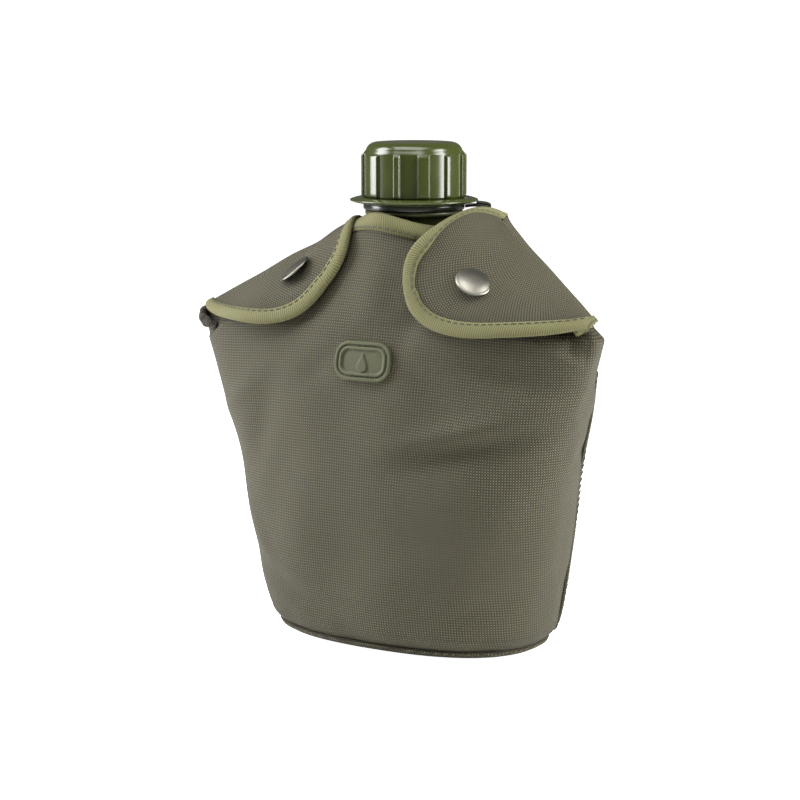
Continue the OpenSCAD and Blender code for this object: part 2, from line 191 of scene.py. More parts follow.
# ---------------------------------------------------------------- finishes
@dataclass(frozen=True)
class WovenCloth:
    """Coated nylon in a coarse plain weave on the slant: dotted yarns, colour drift, painted highlights on
    the raised yarn crossings and painted shade in the gaps between the yarns.
    """

    name: str = "oxford_nylon_woven"
    yarn: str = "#47432d"
    # Dark colour: painted shade in the gaps between the yarns, and small random flecks.
    shade: str = "#0e0c07"
    # Pale colour: painted highlight on the raised yarn crossings, and a real fading that varies at random.
    yarn_highlight_and_fade: str = "#8f8869"
    pitch: float = 0.8 * MM
    wander: float = 0.10 * MM
    depth: float = 0.32 * MM

    def make(self) -> bpy.types.Material:
        """Build the material.

        Returns:
            The material.
        """
        n = Nodes(self.name)
        uv = n.add("UVMap", {"uv_map": "flat"}).outputs[0]
        drift = n.noise(uv, 900.0, 2.0)
        sway = n.add("VectorMath", {"operation": "SCALE"}, in0=drift, Scale=self.wander).outputs[0]
        place = n.add("VectorMath", {"operation": "ADD"}, in0=uv, in1=sway).outputs[0]
        axes = n.add("SeparateXYZ", None, in0=place).outputs
        turn = math.pi / self.pitch / math.sqrt(2)
        warp = n.math("SINE", n.math("MULTIPLY", n.math("ADD", axes[0], axes[1]), turn))
        weft = n.math("SINE", n.math("MULTIPLY", n.math("SUBTRACT", axes[0], axes[1]), turn))
        cell = n.math("MULTIPLY", warp, weft)
        knot = n.math("ABSOLUTE", cell)
        height = n.math("POWER", knot, 0.5)
        over = n.math("GREATER_THAN", cell, 0.0)
        broad = n.noise(uv, 14.0, 4.0, 0.6)
        fine = n.noise(uv, 2400.0, 2.0)
        # Painted shade: the gaps between the yarns are darkened towards the dark colour.
        deep = n.blend(n.math("POWER", knot, 1.1), srgb(self.shade), srgb(self.yarn))
        # Painted highlight: the raised yarn crossings are lightened towards the pale colour.
        lit = n.blend(n.math("MULTIPLY", n.math("MULTIPLY", over, knot), 0.5), deep, srgb(self.yarn_highlight_and_fade))
        # Real fading: broad noise shifts the colour towards the pale one at random.
        patchy = n.blend(n.math("MULTIPLY", broad, 0.20), lit, srgb(self.yarn_highlight_and_fade), "SOFT_LIGHT")
        colour = n.blend(n.math("MULTIPLY", fine, 0.22), patchy, srgb(self.shade))
        rough = n.math("MULTIPLY_ADD", broad, 0.12, 0.62)
        relief = n.math("ADD", height, n.math("MULTIPLY", fine, 0.25))
        return n.finish(relief, 0.75, self.depth, Base_Color=colour, Roughness=rough,
                        Specular_IOR_Level=0.3, Sheen_Weight=0.04, Sheen_Roughness=0.45)


@dataclass(frozen=True)
class RibbedTape:
    """Woven binding tape: fine ribs across it, paler and greener than the cloth, with painted shade in the
    grooves between the ribs.
    """

    name: str = "polyester_tape_ribbed"
    rib: str = "#6f6d47"
    # Dark colour: painted shade in the grooves between the ribs, and small random flecks.
    groove: str = "#25240f"
    pitch: float = 0.95 * MM
    along: int = 0
    cross_pitch: float = 0.6 * MM
    depth: float = 0.25 * MM
    faded: str = "#7d7c58"

    def make(self) -> bpy.types.Material:
        """Build the material.

        Returns:
            The material.
        """
        n = Nodes(self.name)
        uv = n.add("UVMap", {"uv_map": "flat"}).outputs[0]
        axes = n.add("SeparateXYZ", None, in0=uv).outputs
        rib = n.math("SINE", n.math("MULTIPLY", axes[self.along], math.pi / self.pitch))
        rib = n.math("ABSOLUTE", rib)
        cross = n.math("SINE", n.math("MULTIPLY", axes[1 - self.along], math.pi / self.cross_pitch))
        cross = n.math("ABSOLUTE", cross)
        relief = n.math("MULTIPLY_ADD", n.math("POWER", cross, 0.5), 0.25, n.math("POWER", rib, 0.6))
        fuzz = n.noise(uv, 2600.0, 2.0)
        broad = n.noise(uv, 60.0, 3.0)
        # Painted shade: the grooves between the ribs are darkened towards the dark colour.
        base = n.blend(n.math("POWER", rib, 0.5), srgb(self.groove), srgb(self.rib))
        aged = n.blend(n.math("MULTIPLY", broad, 0.25), base, srgb(self.faded), "SOFT_LIGHT")
        colour = n.blend(n.math("MULTIPLY", fuzz, 0.2), aged, srgb(self.groove))
        rough = n.math("MULTIPLY_ADD", fuzz, 0.12, 0.66)
        return n.finish(relief, 0.6, self.depth, Base_Color=colour, Roughness=rough,
                        Specular_IOR_Level=0.3, Sheen_Weight=0.05, Sheen_Roughness=0.5)


@dataclass(frozen=True)
class NappedPile:
    """Acrylic pile lining: matted tufts that read as a soft dark brown fuzz, with painted shade at the roots
    between the tufts.
    """

    name: str = "acrylic_pile_napped"
    tip: str = "#2e281a"
    # Root colour: painted shade low in the pile.
    root: str = "#14110a"
    depth: float = 1.2 * MM

    def make(self) -> bpy.types.Material:
        """Build the material.

        Returns:
            The material.
        """
        n = Nodes(self.name)
        where = n.add("TexCoord").outputs["Object"]
        tuft = n.noise(where, 900.0, 5.0, 0.7)
        clump = n.noise(where, 160.0, 3.0)
        fuzz = n.math("ADD", tuft, clump)
        # Painted shade: low places in the pile take the dark root colour, and high tufts take the tip
        # colour.
        mixed = n.blend(n.math("MULTIPLY", fuzz, 0.62), srgb(self.root), srgb(self.tip))
        rough = n.math("MULTIPLY_ADD", clump, 0.1, 0.85)
        return n.finish(fuzz, 1.0, self.depth, Base_Color=mixed, Roughness=rough,
                        Sheen_Weight=0.06, Sheen_Roughness=0.6)


@dataclass(frozen=True)
class MouldedPlastic:
    """Injection-moulded polyethylene: glossy skin with faint flow marks, dust and softened scratches."""

    name: str
    body: str
    pale: str
    gloss: float = 0.24
    grain: float = 0.05
    depth: float = 0.5 * MM

    def make(self) -> bpy.types.Material:
        """Build the material.

        Returns:
            The material.
        """
        n = Nodes(self.name)
        where = n.add("TexCoord").outputs["Object"]
        flow = n.noise(where, 55.0, 4.0)
        speck = n.noise(where, 1500.0, 3.0)
        colour = n.blend(n.math("MULTIPLY", flow, 0.3), srgb(self.body), srgb(self.pale))
        rough = n.math("MULTIPLY_ADD", flow, 0.14, n.math("MULTIPLY_ADD", speck, 0.08, self.gloss - 0.1))
        skin = n.math("ADD", flow, n.math("MULTIPLY", speck, 0.3))
        return n.finish(skin, self.grain, self.depth, Base_Color=colour, Roughness=rough)


@dataclass(frozen=True)
class MouldedRubber:
    """Soft moulded rubber: matt, with a fine sandy grain and paler raised edges."""

    name: str = "soft_pvc_moulded"
    body: str = "#34361d"
    pale: str = "#54562f"
    depth: float = 0.12 * MM

    def make(self) -> bpy.types.Material:
        """Build the material.

        Returns:
            The material.
        """
        n = Nodes(self.name)
        where = n.add("TexCoord").outputs["Object"]
        grain = n.noise(where, 2200.0, 3.0)
        broad = n.noise(where, 120.0, 3.0)
        edge = n.add("NewGeometry").outputs["Pointiness"]
        ramp = n.math("MULTIPLY", n.math("SUBTRACT", edge, 0.5), 6.0)
        raised = n.math("MINIMUM", n.math("MAXIMUM", ramp, 0.0), 0.6)
        paler = n.math("ADD", raised, n.math("MULTIPLY", broad, 0.2))
        colour = n.blend(paler, srgb(self.body), srgb(self.pale))
        rough = n.math("MULTIPLY_ADD", broad, 0.14, 0.46)
        return n.finish(grain, 0.35, self.depth, Base_Color=colour, Roughness=rough)


@dataclass(frozen=True)
class AntiqueNickel:
    """Plated brass with an antiqued finish: dark in the hollows, brushed and rubbed bright on the dome."""

    name: str = "nickel_plate_antiqued"
    bright: str = "#8d8a80"
    dark: str = "#3d3b35"
    depth: float = 0.1 * MM

    def make(self) -> bpy.types.Material:
        """Build the material.

        Returns:
            The material.
        """
        n = Nodes(self.name)
        where = n.add("TexCoord").outputs["Object"]
        rub = n.noise(where, 420.0, 4.0)
        fine = n.noise(where, 3600.0, 2.0)
        tarnish = n.math("MULTIPLY_ADD", rub, 0.5, n.math("MULTIPLY", fine, 0.15))
        colour = n.blend(tarnish, srgb(self.bright), srgb(self.dark))
        rough = n.math("MULTIPLY_ADD", rub, 0.2, 0.26)
        return n.finish(n.math("ADD", rub, fine), 0.12, self.depth, Base_Color=colour, Metallic=1.0,
                        Roughness=rough)


@dataclass(frozen=True)
class SewingThread:
    """Twisted polyester thread: fine slanting ply lines along each stitch, painted lighter on their crests
    and darker in the grooves between them.
    """

    name: str = "polyester_thread_twisted"
    ply: str = "#3b3a22"
    # Dark colour: painted shade in the grooves between the plies, and a random darker tone.
    shade: str = "#1d1c10"
    depth: float = 0.1 * MM

    def make(self) -> bpy.types.Material:
        """Build the material.

        Returns:
            The material.
        """
        n = Nodes(self.name)
        where = n.add("TexCoord").outputs["Object"]
        wave = n.add("TexWave", {"bands_direction": "DIAGONAL"}, Vector=where, Scale=900.0, Distortion=1.0)
        twist = wave.outputs[1]
        tone = n.noise(where, 300.0, 2.0)
        # Painted light and shade: the colour follows the ply relief, lighter on the crests and darker in the
        # grooves, with a real random tone from the noise.
        lit = n.math("MULTIPLY_ADD", tone, 0.4, n.math("MULTIPLY", twist, 0.4))
        colour = n.blend(lit, srgb(self.shade), srgb(self.ply))
        rough = n.math("MULTIPLY_ADD", tone, 0.1, 0.6)
        return n.finish(twist, 0.4, self.depth, Base_Color=colour, Roughness=rough, Sheen_Weight=0.15)


class Finish(Enum):
    """The finishes that the canteen is made in."""

    CLOTH = WovenCloth()
    TAPE = RibbedTape()
    # The webbing's second colour is the painted shade in the grooves between its ribs.
    WEB = RibbedTape("polypropylene_webbing_ribbed", "#6d6b46", "#403f28", 1.5 * MM, 1)
    PILE = NappedPile()
    CAP = MouldedPlastic("polyethylene_moulded_glossy", "#2d3412", "#424a1e", 0.2)
    BOTTLE = MouldedPlastic("polyethylene_blown_satin", "#3c4124", "#4e5230", 0.34, 0.12)
    STRAP = MouldedPlastic("polyethylene_strap_glossy", "#1d1f18", "#33362a", 0.2)
    GASKET = MouldedPlastic("rubber_sheet_cut", "#2c2c28", "#45443d", 0.55, 0.2)
    RUBBER = MouldedRubber()
    NICKEL = AntiqueNickel()
    THREAD = SewingThread()

    def material(self) -> bpy.types.Material:
        """Give the finish's material, made at the first call.

        Returns:
            The material.
        """
        return bpy.data.materials.get(self.value.name) or self.value.make()


# ---------------------------------------------------------------- mesh helpers
def grid_faces(rows: int, cols: int, wrap_rows: bool = False, wrap_cols: bool = False) -> Array:
    """Quads of a grid of points, facing out when rows rise and columns run anticlockwise.

    Args:
        rows: number of rows.
        cols: number of columns.
        wrap_rows: join the last row to the first.
        wrap_cols: join the last column to the first.
    Returns:
        Array of quads.
    """
    r = np.arange(rows if wrap_rows else rows - 1)
    c = np.arange(cols if wrap_cols else cols - 1)
    rr, cc = np.meshgrid(r, c, indexing="ij")
    up, right = (rr + 1) % rows, (cc + 1) % cols
    quads = np.stack([rr * cols + cc, rr * cols + right, up * cols + right, up * cols + cc], -1)
    return quads.reshape(-1, 4)


def make_mesh(name: str, points: Array, faces: Array, finish: Finish,
              uv: Array | None = None) -> bpy.types.Object:
    """Make an object from millimetre points and equal-sided faces.

    Args:
        name: object name.
        points: n x 3 points in millimetres.
        faces: m x 3 or m x 4 point indices.
        finish: surface finish.
        uv: n x 2 flat coordinates in millimetres, or None.
    Returns:
        The object, at the origin and shaded smooth.
    """
    mesh = bpy.data.meshes.new(name)
    count, sides = faces.shape
    mesh.vertices.add(len(points))
    mesh.vertices.foreach_set("co", np.asarray(points, np.float32).ravel() * MM)
    mesh.loops.add(count * sides)
    mesh.loops.foreach_set("vertex_index", faces.astype(np.int32).ravel())
    mesh.polygons.add(count)
    mesh.polygons.foreach_set("loop_start", np.arange(count, dtype=np.int32) * sides)
    mesh.update(calc_edges=True)
    if uv is not None:
        layer = mesh.uv_layers.new(name="flat")
        layer.data.foreach_set("uv", np.asarray(uv, np.float32)[faces.ravel()].ravel() * MM)
    mesh.polygons.foreach_set("use_smooth", np.full(count, True))
    mesh.validate()
    obj = bpy.data.objects.new(name, mesh)
    bpy.context.scene.collection.objects.link(obj)
    obj.data.materials.append(finish.material())
    return obj


def slab_mesh(name: str, outer: Array, inner: Array, uv: Array, finish: Finish) -> bpy.types.Object:
    """Close two matching grids into one thick piece.

    Args:
        name: object name.
        outer: rows x cols x 3 points of the outside.
        inner: the same of the inside.
        uv: rows x cols x 2 flat coordinates in millimetres.
        finish: surface finish.
    Returns:
        The object.
    """
    rows, cols = outer.shape[:2]
    n = rows * cols
    quads = grid_faces(rows, cols)
    index = np.arange(n).reshape(rows, cols)
    ring = np.concatenate([index[0], index[1:, -1], index[-1, -2::-1], index[-2:0:-1, 0]])
    ahead = np.roll(ring, -1)
    rim = np.stack([ahead, ring, ring + n, ahead + n], -1)
    faces = np.concatenate([quads, quads[:, ::-1] + n, rim])
    points = np.concatenate([outer.reshape(-1, 3), inner.reshape(-1, 3)])
    flat = np.concatenate([uv.reshape(-1, 2)] * 2)
    return make_mesh(name, points, faces, finish, flat)


def weld(obj: bpy.types.Object, distance: float = 0.002 * MM) -> bpy.types.Object:
    """Merge points that fall together, such as at a pole.

    Args:
        obj: the object.
        distance: merge distance in metres.
    Returns:
        The same object.
    """
    work = bmesh.new()
    work.from_mesh(obj.data)
    bmesh.ops.remove_doubles(work, verts=work.verts, dist=distance)
    work.to_mesh(obj.data)
    work.free()
    obj.data.update()
    return obj


def revolve(name: str, profile: Array, finish: Finish, steps: int = 128,
            swell: Array | None = None) -> bpy.types.Object:
    """Turn a closed profile round the Z axis.

    Args:
        name: object name.
        profile: n x 2 radii and heights in millimetres, going round anticlockwise with outside to the right.
        finish: surface finish.
        steps: columns round the axis.
        swell: n x steps radii to add, or None.
    Returns:
        The object.
    """
    turn = np.arange(steps) * TAU / steps
    radius = profile[:, :1] + (0 if swell is None else swell)
    radius = np.broadcast_to(radius, (len(profile), steps))
    points = np.stack([radius * np.cos(turn), radius * np.sin(turn),
                       np.broadcast_to(profile[:, 1:], radius.shape)], -1)
    faces = grid_faces(len(profile), steps, True, True)
    return weld(make_mesh(name, points.reshape(-1, 3), faces, finish))


def rounded(corners: list[tuple[float, float]], radius: float, steps: int = 4) -> Array:
    """Round the corners of a closed outline with short arcs.

    Args:
        corners: corner points in order.
        radius: cut-back distance along each side.
        steps: points in each arc.
    Returns:
        Outline points.
    """
    p = np.array(corners, float)
    before, after = np.roll(p, 1, 0) - p, np.roll(p, -1, 0) - p
    lb = np.linalg.norm(before, axis=1, keepdims=True)
    la = np.linalg.norm(after, axis=1, keepdims=True)
    cut = np.minimum(radius, 0.45 * np.minimum(lb, la))
    start, end = p + before / lb * cut, p + after / la * cut
    t = np.linspace(0, 1, steps)[None, :, None]
    arc = (1 - t) ** 2 * start[:, None] + 2 * t * (1 - t) * p[:, None] + t ** 2 * end[:, None]
    return arc.reshape(-1, 2)


def unit(v: Array) -> Array:
    """Scale vectors to length one.

    Args:
        v: vectors in the last axis.
    Returns:
        Unit vectors.
    """
    return v / np.maximum(np.linalg.norm(v, axis=-1, keepdims=True), 1e-9)


def lengths(line: Array) -> Array:
    """Running length along a line of points.

    Args:
        line: n x 2 or n x 3 points.
    Returns:
        Lengths from the first point.
    """
    return np.concatenate([[0], np.cumsum(np.linalg.norm(np.diff(line, axis=0), axis=1))])


def strip_map(points: Array, row: int, column: int) -> Array:
    """Lay a long folded strip out flat: lengths along one column and across one row.

    Args:
        points: rows x cols x 3 points.
        row: the row that is measured across.
        column: the column that is measured along.
    Returns:
        rows*cols x 2 flat coordinates.
    """
    run, girth = lengths(points[:, column]), lengths(points[row])
    return np.stack(np.broadcast_arrays(run[:, None], girth[None]), -1).reshape(-1, 2)


def sweep(name: str, path: Array, side: Array, up: Array, outline: Array,
          finish: Finish) -> bpy.types.Object:
    """Carry an outline along a path and close both ends.

    Args:
        name: object name.
        path: n x 3 points.
        side: n x 3 directions of the outline's first coordinate.
        up: n x 3 directions of its second.
        outline: m x 2 closed outline, anticlockwise when looking back along the path.
        finish: surface finish.
    Returns:
        The object.
    """
    points = path[:, None] + outline[None, :, :1] * side[:, None] + outline[None, :, 1:] * up[:, None]
    cols = points.shape[1]
    uv = np.stack(np.broadcast_arrays(lengths(path)[:, None], lengths(outline)[None]), -1)
    ends = [points[:1].mean(1, keepdims=True), points[-1:].mean(1, keepdims=True)]
    points = np.concatenate([np.repeat(ends[0], cols, 1), points, np.repeat(ends[1], cols, 1)])
    uv = np.concatenate([uv[:1], uv, uv[-1:]])
    faces = grid_faces(len(points), cols, False, True)
    return weld(make_mesh(name, points.reshape(-1, 3), faces, finish, uv.reshape(-1, 2)))


def stitches(name: str, line: Array, normal: Array, pitch: float = 3.0, length: float = 2.2,
             width: float = 0.55, lift: float = 0.12) -> bpy.types.Object:
    """Lay a row of stitches along a line: each is an ellipsoid, longest along the line.

    Args:
        name: object name.
        line: n x 3 points.
        normal: n x 3 outward directions.
        pitch: distance from one stitch to the next.
        length: length of a stitch.
        width: thickness of the thread.
        lift: height of the thread's middle above the line.
    Returns:
        The row as one object.
    """
    run = lengths(line)
    at = np.arange(pitch / 2, run[-1], pitch)
    mid = np.stack([np.interp(at, run, line[:, k]) for k in range(3)], -1)
    out = unit(np.stack([np.interp(at, run, normal[:, k]) for k in range(3)], -1))
    along = unit(np.stack([np.interp(at + 0.4, run, line[:, k]) - np.interp(at - 0.4, run, line[:, k])
                           for k in range(3)], -1))
    across = unit(np.cross(out, along))
    lat, lon = np.meshgrid(np.linspace(-math.pi / 2, math.pi / 2, 7), np.arange(8) * TAU / 8, indexing="ij")
    ball = np.stack([np.sin(lat) * length / 2, np.cos(lat) * np.cos(lon) * width / 2,
                     np.cos(lat) * np.sin(lon) * width / 2.6], -1).reshape(-1, 3)
    points = (mid[:, None] + out[:, None] * lift + ball[None, :, :1] * along[:, None]
              + ball[None, :, 1:2] * across[:, None] + ball[None, :, 2:] * out[:, None])
    face = grid_faces(7, 8, False, True)
    faces = (face[None] + (np.arange(len(at)) * len(ball))[:, None, None]).reshape(-1, 4)
    return weld(make_mesh(name, points.reshape(-1, 3), faces, Finish.THREAD), 0.001 * MM)


# ---------------------------------------------------------------- the cover's form
@dataclass(frozen=True)
class Table:
    """A smooth curve through values at rising heights."""

    at: tuple[float, ...]
    value: tuple[float, ...]

    def __call__(self, z: Array) -> Array:
        """Read the curve: a cubic in each span, with slopes from the neighbouring points.

        Args:
            z: heights.
        Returns:
            Values at the heights.
        """
        xs, ys = np.array(self.at, float), np.array(self.value, float)
        span = np.diff(ys) / np.diff(xs)
        slope = np.concatenate([span[:1], (ys[2:] - ys[:-2]) / (xs[2:] - xs[:-2]), span[-1:]])
        z = np.clip(np.asarray(z, float), xs[0], xs[-1])
        i = np.clip(np.searchsorted(xs, z, side="right") - 1, 0, len(xs) - 2)
        h = xs[i + 1] - xs[i]
        t = (z - xs[i]) / h
        return ((2 * t ** 3 - 3 * t ** 2 + 1) * ys[i] + (t ** 3 - 2 * t ** 2 + t) * h * slope[i]
                + (3 * t ** 2 - 2 * t ** 3) * ys[i + 1] + (t ** 3 - t ** 2) * h * slope[i + 1])


@dataclass(frozen=True)
class CoverForm:
    """The cavity of the cover: a squared oval at each height, with straight shoulders up to the neck."""

    ear_w: float = 91.5
    ear_z: float = 133.5
    neck_w: float = 31.0
    neck_z: float = 172.0
    top_z: float = 177.0
    cloth_in: float = 0.6
    cloth_out: float = 2.4
    flap_in: float = 4.6
    flap_out: float = 6.2
    side: Table = Table((0, 3, 14, 44, 78, 104, 120, 133.5),
                        (54.3, 58.4, 63.4, 69.1, 75.3, 82.1, 86.8, 91.5))
    middle: Table = Table((0, 14, 54, 78, 104, 120, 133.5), (0, -1, -5, -9, -13, -16, -19))
    front: Table = Table((0, 3, 14, 44, 78, 104, 122, 135, 152, 166, 181),
                         (32, 35, 39, 42.5, 43, 41.2, 38.5, 35.2, 29.5, 25.5, 23.5))
    back: Table = Table((0, 3, 14, 44, 78, 104, 122, 135, 152, 166, 181),
                        (29, 32, 34.5, 36, 36, 34.5, 32.5, 30, 27, 24.5, 23.5))
    power_x: Table = Table((0, 54, 104, 133.5, 154, 181), (0.85, 0.85, 0.93, 1, 1, 1))
    power_y: Table = Table((0, 54, 104, 133.5, 154, 181), (0.85, 0.85, 0.95, 1.3, 1.2, 1))
    hollow: Table = Table((0, 8, 26, 94, 124, 181), (0, 0, 5, 5, 1, 0))
    neck_mid: float = 15.0
    hollow_half_w: float = 52.0
    bib_drop: float = 3.0
    bib_rise: float = 6.0
    bib_turn: float = 0.16
    ridge_only: bool = False

    def up_ridge(self, low: float, high: float, z: Array) -> Array:
        """A value that runs straight up the shoulder ridge.

        Args:
            low: value at the ear.
            high: value at the neck.
            z: heights.
        Returns:
            Values.
        """
        return low + (high - low) * (z - self.ear_z) / (self.neck_z - self.ear_z)

    def half_width(self, z: Array) -> Array:
        """Half width of the cavity.

        Args:
            z: heights.
        Returns:
            Half widths.
        """
        z = np.asarray(z, float)
        ridge = self.up_ridge(self.ear_w, self.neck_w, z)
        return ridge if self.ridge_only else np.where(z <= self.ear_z, self.side(z), ridge)

    def mid_depth(self, z: Array) -> Array:
        """Depth of the side line, where front and back meet.

        Args:
            z: heights.
        Returns:
            Y of the side line.
        """
        z = np.asarray(z, float)
        ridge = self.up_ridge(self.middle.value[-1], self.neck_mid, z)
        return ridge if self.ridge_only else np.where(z <= self.ear_z, self.middle(z), ridge)

    def cavity(self, angle: Array, z: Array) -> Array:
        """Points of the cavity wall.

        Args:
            angle: angles in radians; three quarters of a turn is the front.
            z: heights.
        Returns:
            Points.
        """
        c, s = np.cos(angle), np.sin(angle)
        x = self.half_width(z) * np.sign(c) * np.abs(c) ** self.power_x(z)
        q = np.abs(s) ** self.power_y(z)
        m = self.mid_depth(z)
        dip = self.hollow(z) * np.clip(1 - (x / self.hollow_half_w) ** 2, 0, 1) ** 2
        y = np.where(s < 0, m - (self.front(z) + m) * q, m + (self.back(z) - m) * q - dip)
        return np.stack([x, y, np.broadcast_to(z, x.shape)], -1)

    def normal(self, angle: Array, z: Array) -> Array:
        """Outward directions of the wall.

        Args:
            angle: angles in radians.
            z: heights.
        Returns:
            Unit vectors.
        """
        e = math.radians(0.5)
        across = self.cavity(angle + e, z) - self.cavity(angle - e, z)
        rise = self.cavity(angle, z + 0.2) - self.cavity(angle, z - 0.2)
        return unit(np.cross(across, rise))

    def skin(self, angle: Array, z: Array, off: Array, level: bool = False) -> Array:
        """Points standing off the wall.

        Args:
            angle: angles in radians.
            z: heights.
            off: distances off the wall.
            level: keep the height, and push sideways only.
        Returns:
            Points.
        """
        n = self.normal(angle, z)
        off = np.broadcast_to(np.asarray(off, float), n.shape[:-1])[..., None]
        if level:
            flat = np.linalg.norm(n[..., :2], axis=-1, keepdims=True)
            n = n * np.array([1.0, 1.0, 0.0]) / flat
        return self.cavity(angle, z) + off * n

    def front_angle(self, x: Array, z: Array) -> Array:
        """Angle on the front at a sideways place.

        Args:
            x: sideways places.
            z: heights.
        Returns:
            Angles in radians.
        """
        share = np.minimum(np.abs(x) / self.half_width(z), 1) ** (1 / self.power_x(z))
        return np.where(x >= 0, TAU - np.arccos(share), math.pi + np.arccos(share))

    def front_top(self, angle: Array) -> Array:
        """Height of the front's top edge, which rises to a low hump before the neck.

        Args:
            angle: angles in radians.
        Returns:
            Heights.
        """
        hump = np.clip(np.cos((angle - 1.5 * math.pi + self.bib_turn) * 1.4), 0, None) ** 2.2
        return self.top_z - self.bib_drop + self.bib_rise * hump


@dataclass(frozen=True)
class Crease:
    """One soft ridge or dent: a stretched bell across the front, seen in x and z."""

    x: float
    z: float
    lean: float
    length: float
    width: float
    height: float

    def __call__(self, x: Array, z: Array) -> Array:
        """Height of the crease.

        Args:
            x: sideways places.
            z: heights.
        Returns:
            Heights off the cloth.
        """
        a = math.radians(self.lean)
        u = (x - self.x) * math.cos(a) + (z - self.z) * math.sin(a)
        v = -(x - self.x) * math.sin(a) + (z - self.z) * math.cos(a)
        return self.height * np.exp(-(u / self.length) ** 2 - (v / self.width) ** 2)


def ripples(x: Array, z: Array, seed: int, count: int = 14, low: float = 30.0, high: float = 90.0) -> Array:
    """Gentle unevenness: a sum of slanting sine waves with random directions and phases.

    Args:
        x: sideways places.
        z: heights.
        seed: random seed.
        count: number of waves.
        low: shortest wavelength.
        high: longest wavelength.
    Returns:
        Heights of about one.
    """
    rng = np.random.default_rng(seed)
    total = np.zeros(np.broadcast(x, z).shape)
    for wave, turn, phase in zip(rng.uniform(low, high, count), rng.uniform(0, math.pi, count),
                                 rng.uniform(0, TAU, count)):
        total = total + np.sin(TAU * (x * math.cos(turn) + z * math.sin(turn)) / wave + phase)
    return total / math.sqrt(count)


# ---------------------------------------------------------------- cover
@dataclass
class Part:
    """A sub-assembly: it builds its pieces and puts most of them on a body."""

    form: CoverForm
    pieces: list[bpy.types.Object] = field(default_factory=list)

    def put(self, obj: bpy.types.Object, body: str, slot: str, *nodes: str) -> bpy.types.Object:
        """Let a piece ride on a body and hide the solids that it stands for.

        Args:
            obj: the piece.
            body: name of the body.
            slot: not used.
            *nodes: names of the solids.
        Returns:
            The piece.
        """
        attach(obj, body)
        if nodes:
            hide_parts(*nodes)
        self.pieces.append(obj)
        LOG.info("%s: %d points on %s", obj.name, len(obj.data.vertices), body)
        return obj


def flat_map(points: Array) -> Array:
    """Lay a grid of points out flat: lengths across from the middle column, and up that column.

    Args:
        points: rows x cols x 3 points.
    Returns:
        rows x cols x 2 flat coordinates.
    """
    across = np.linalg.norm(np.diff(points, axis=1), axis=-1)
    run = np.concatenate([np.zeros((len(points), 1)), np.cumsum(across, 1)], 1)
    run = run - run[:, points.shape[1] // 2][:, None]
    rise = lengths(points[:, points.shape[1] // 2])
    return np.stack([run, np.broadcast_to(rise[:, None], run.shape)], -1)


@dataclass(frozen=True)
class CornerRoll:
    """Where the bunched cloth at a shoulder corner lies, how thick it is and what it is made of."""

    side: int
    start: float
    span: float
    rise: float
    fall: float
    radius: float
    finish: Finish
    slot: str


LEFT_ROLL = CornerRoll(-1, 0.10, 0.34, 1.0, 5.5, 2.2, Finish.PILE, "pile_lining")
RIGHT_ROLL = CornerRoll(1, 0.02, 0.30, 4.5, 2.5, 2.7, Finish.TAPE, "binding_tape")


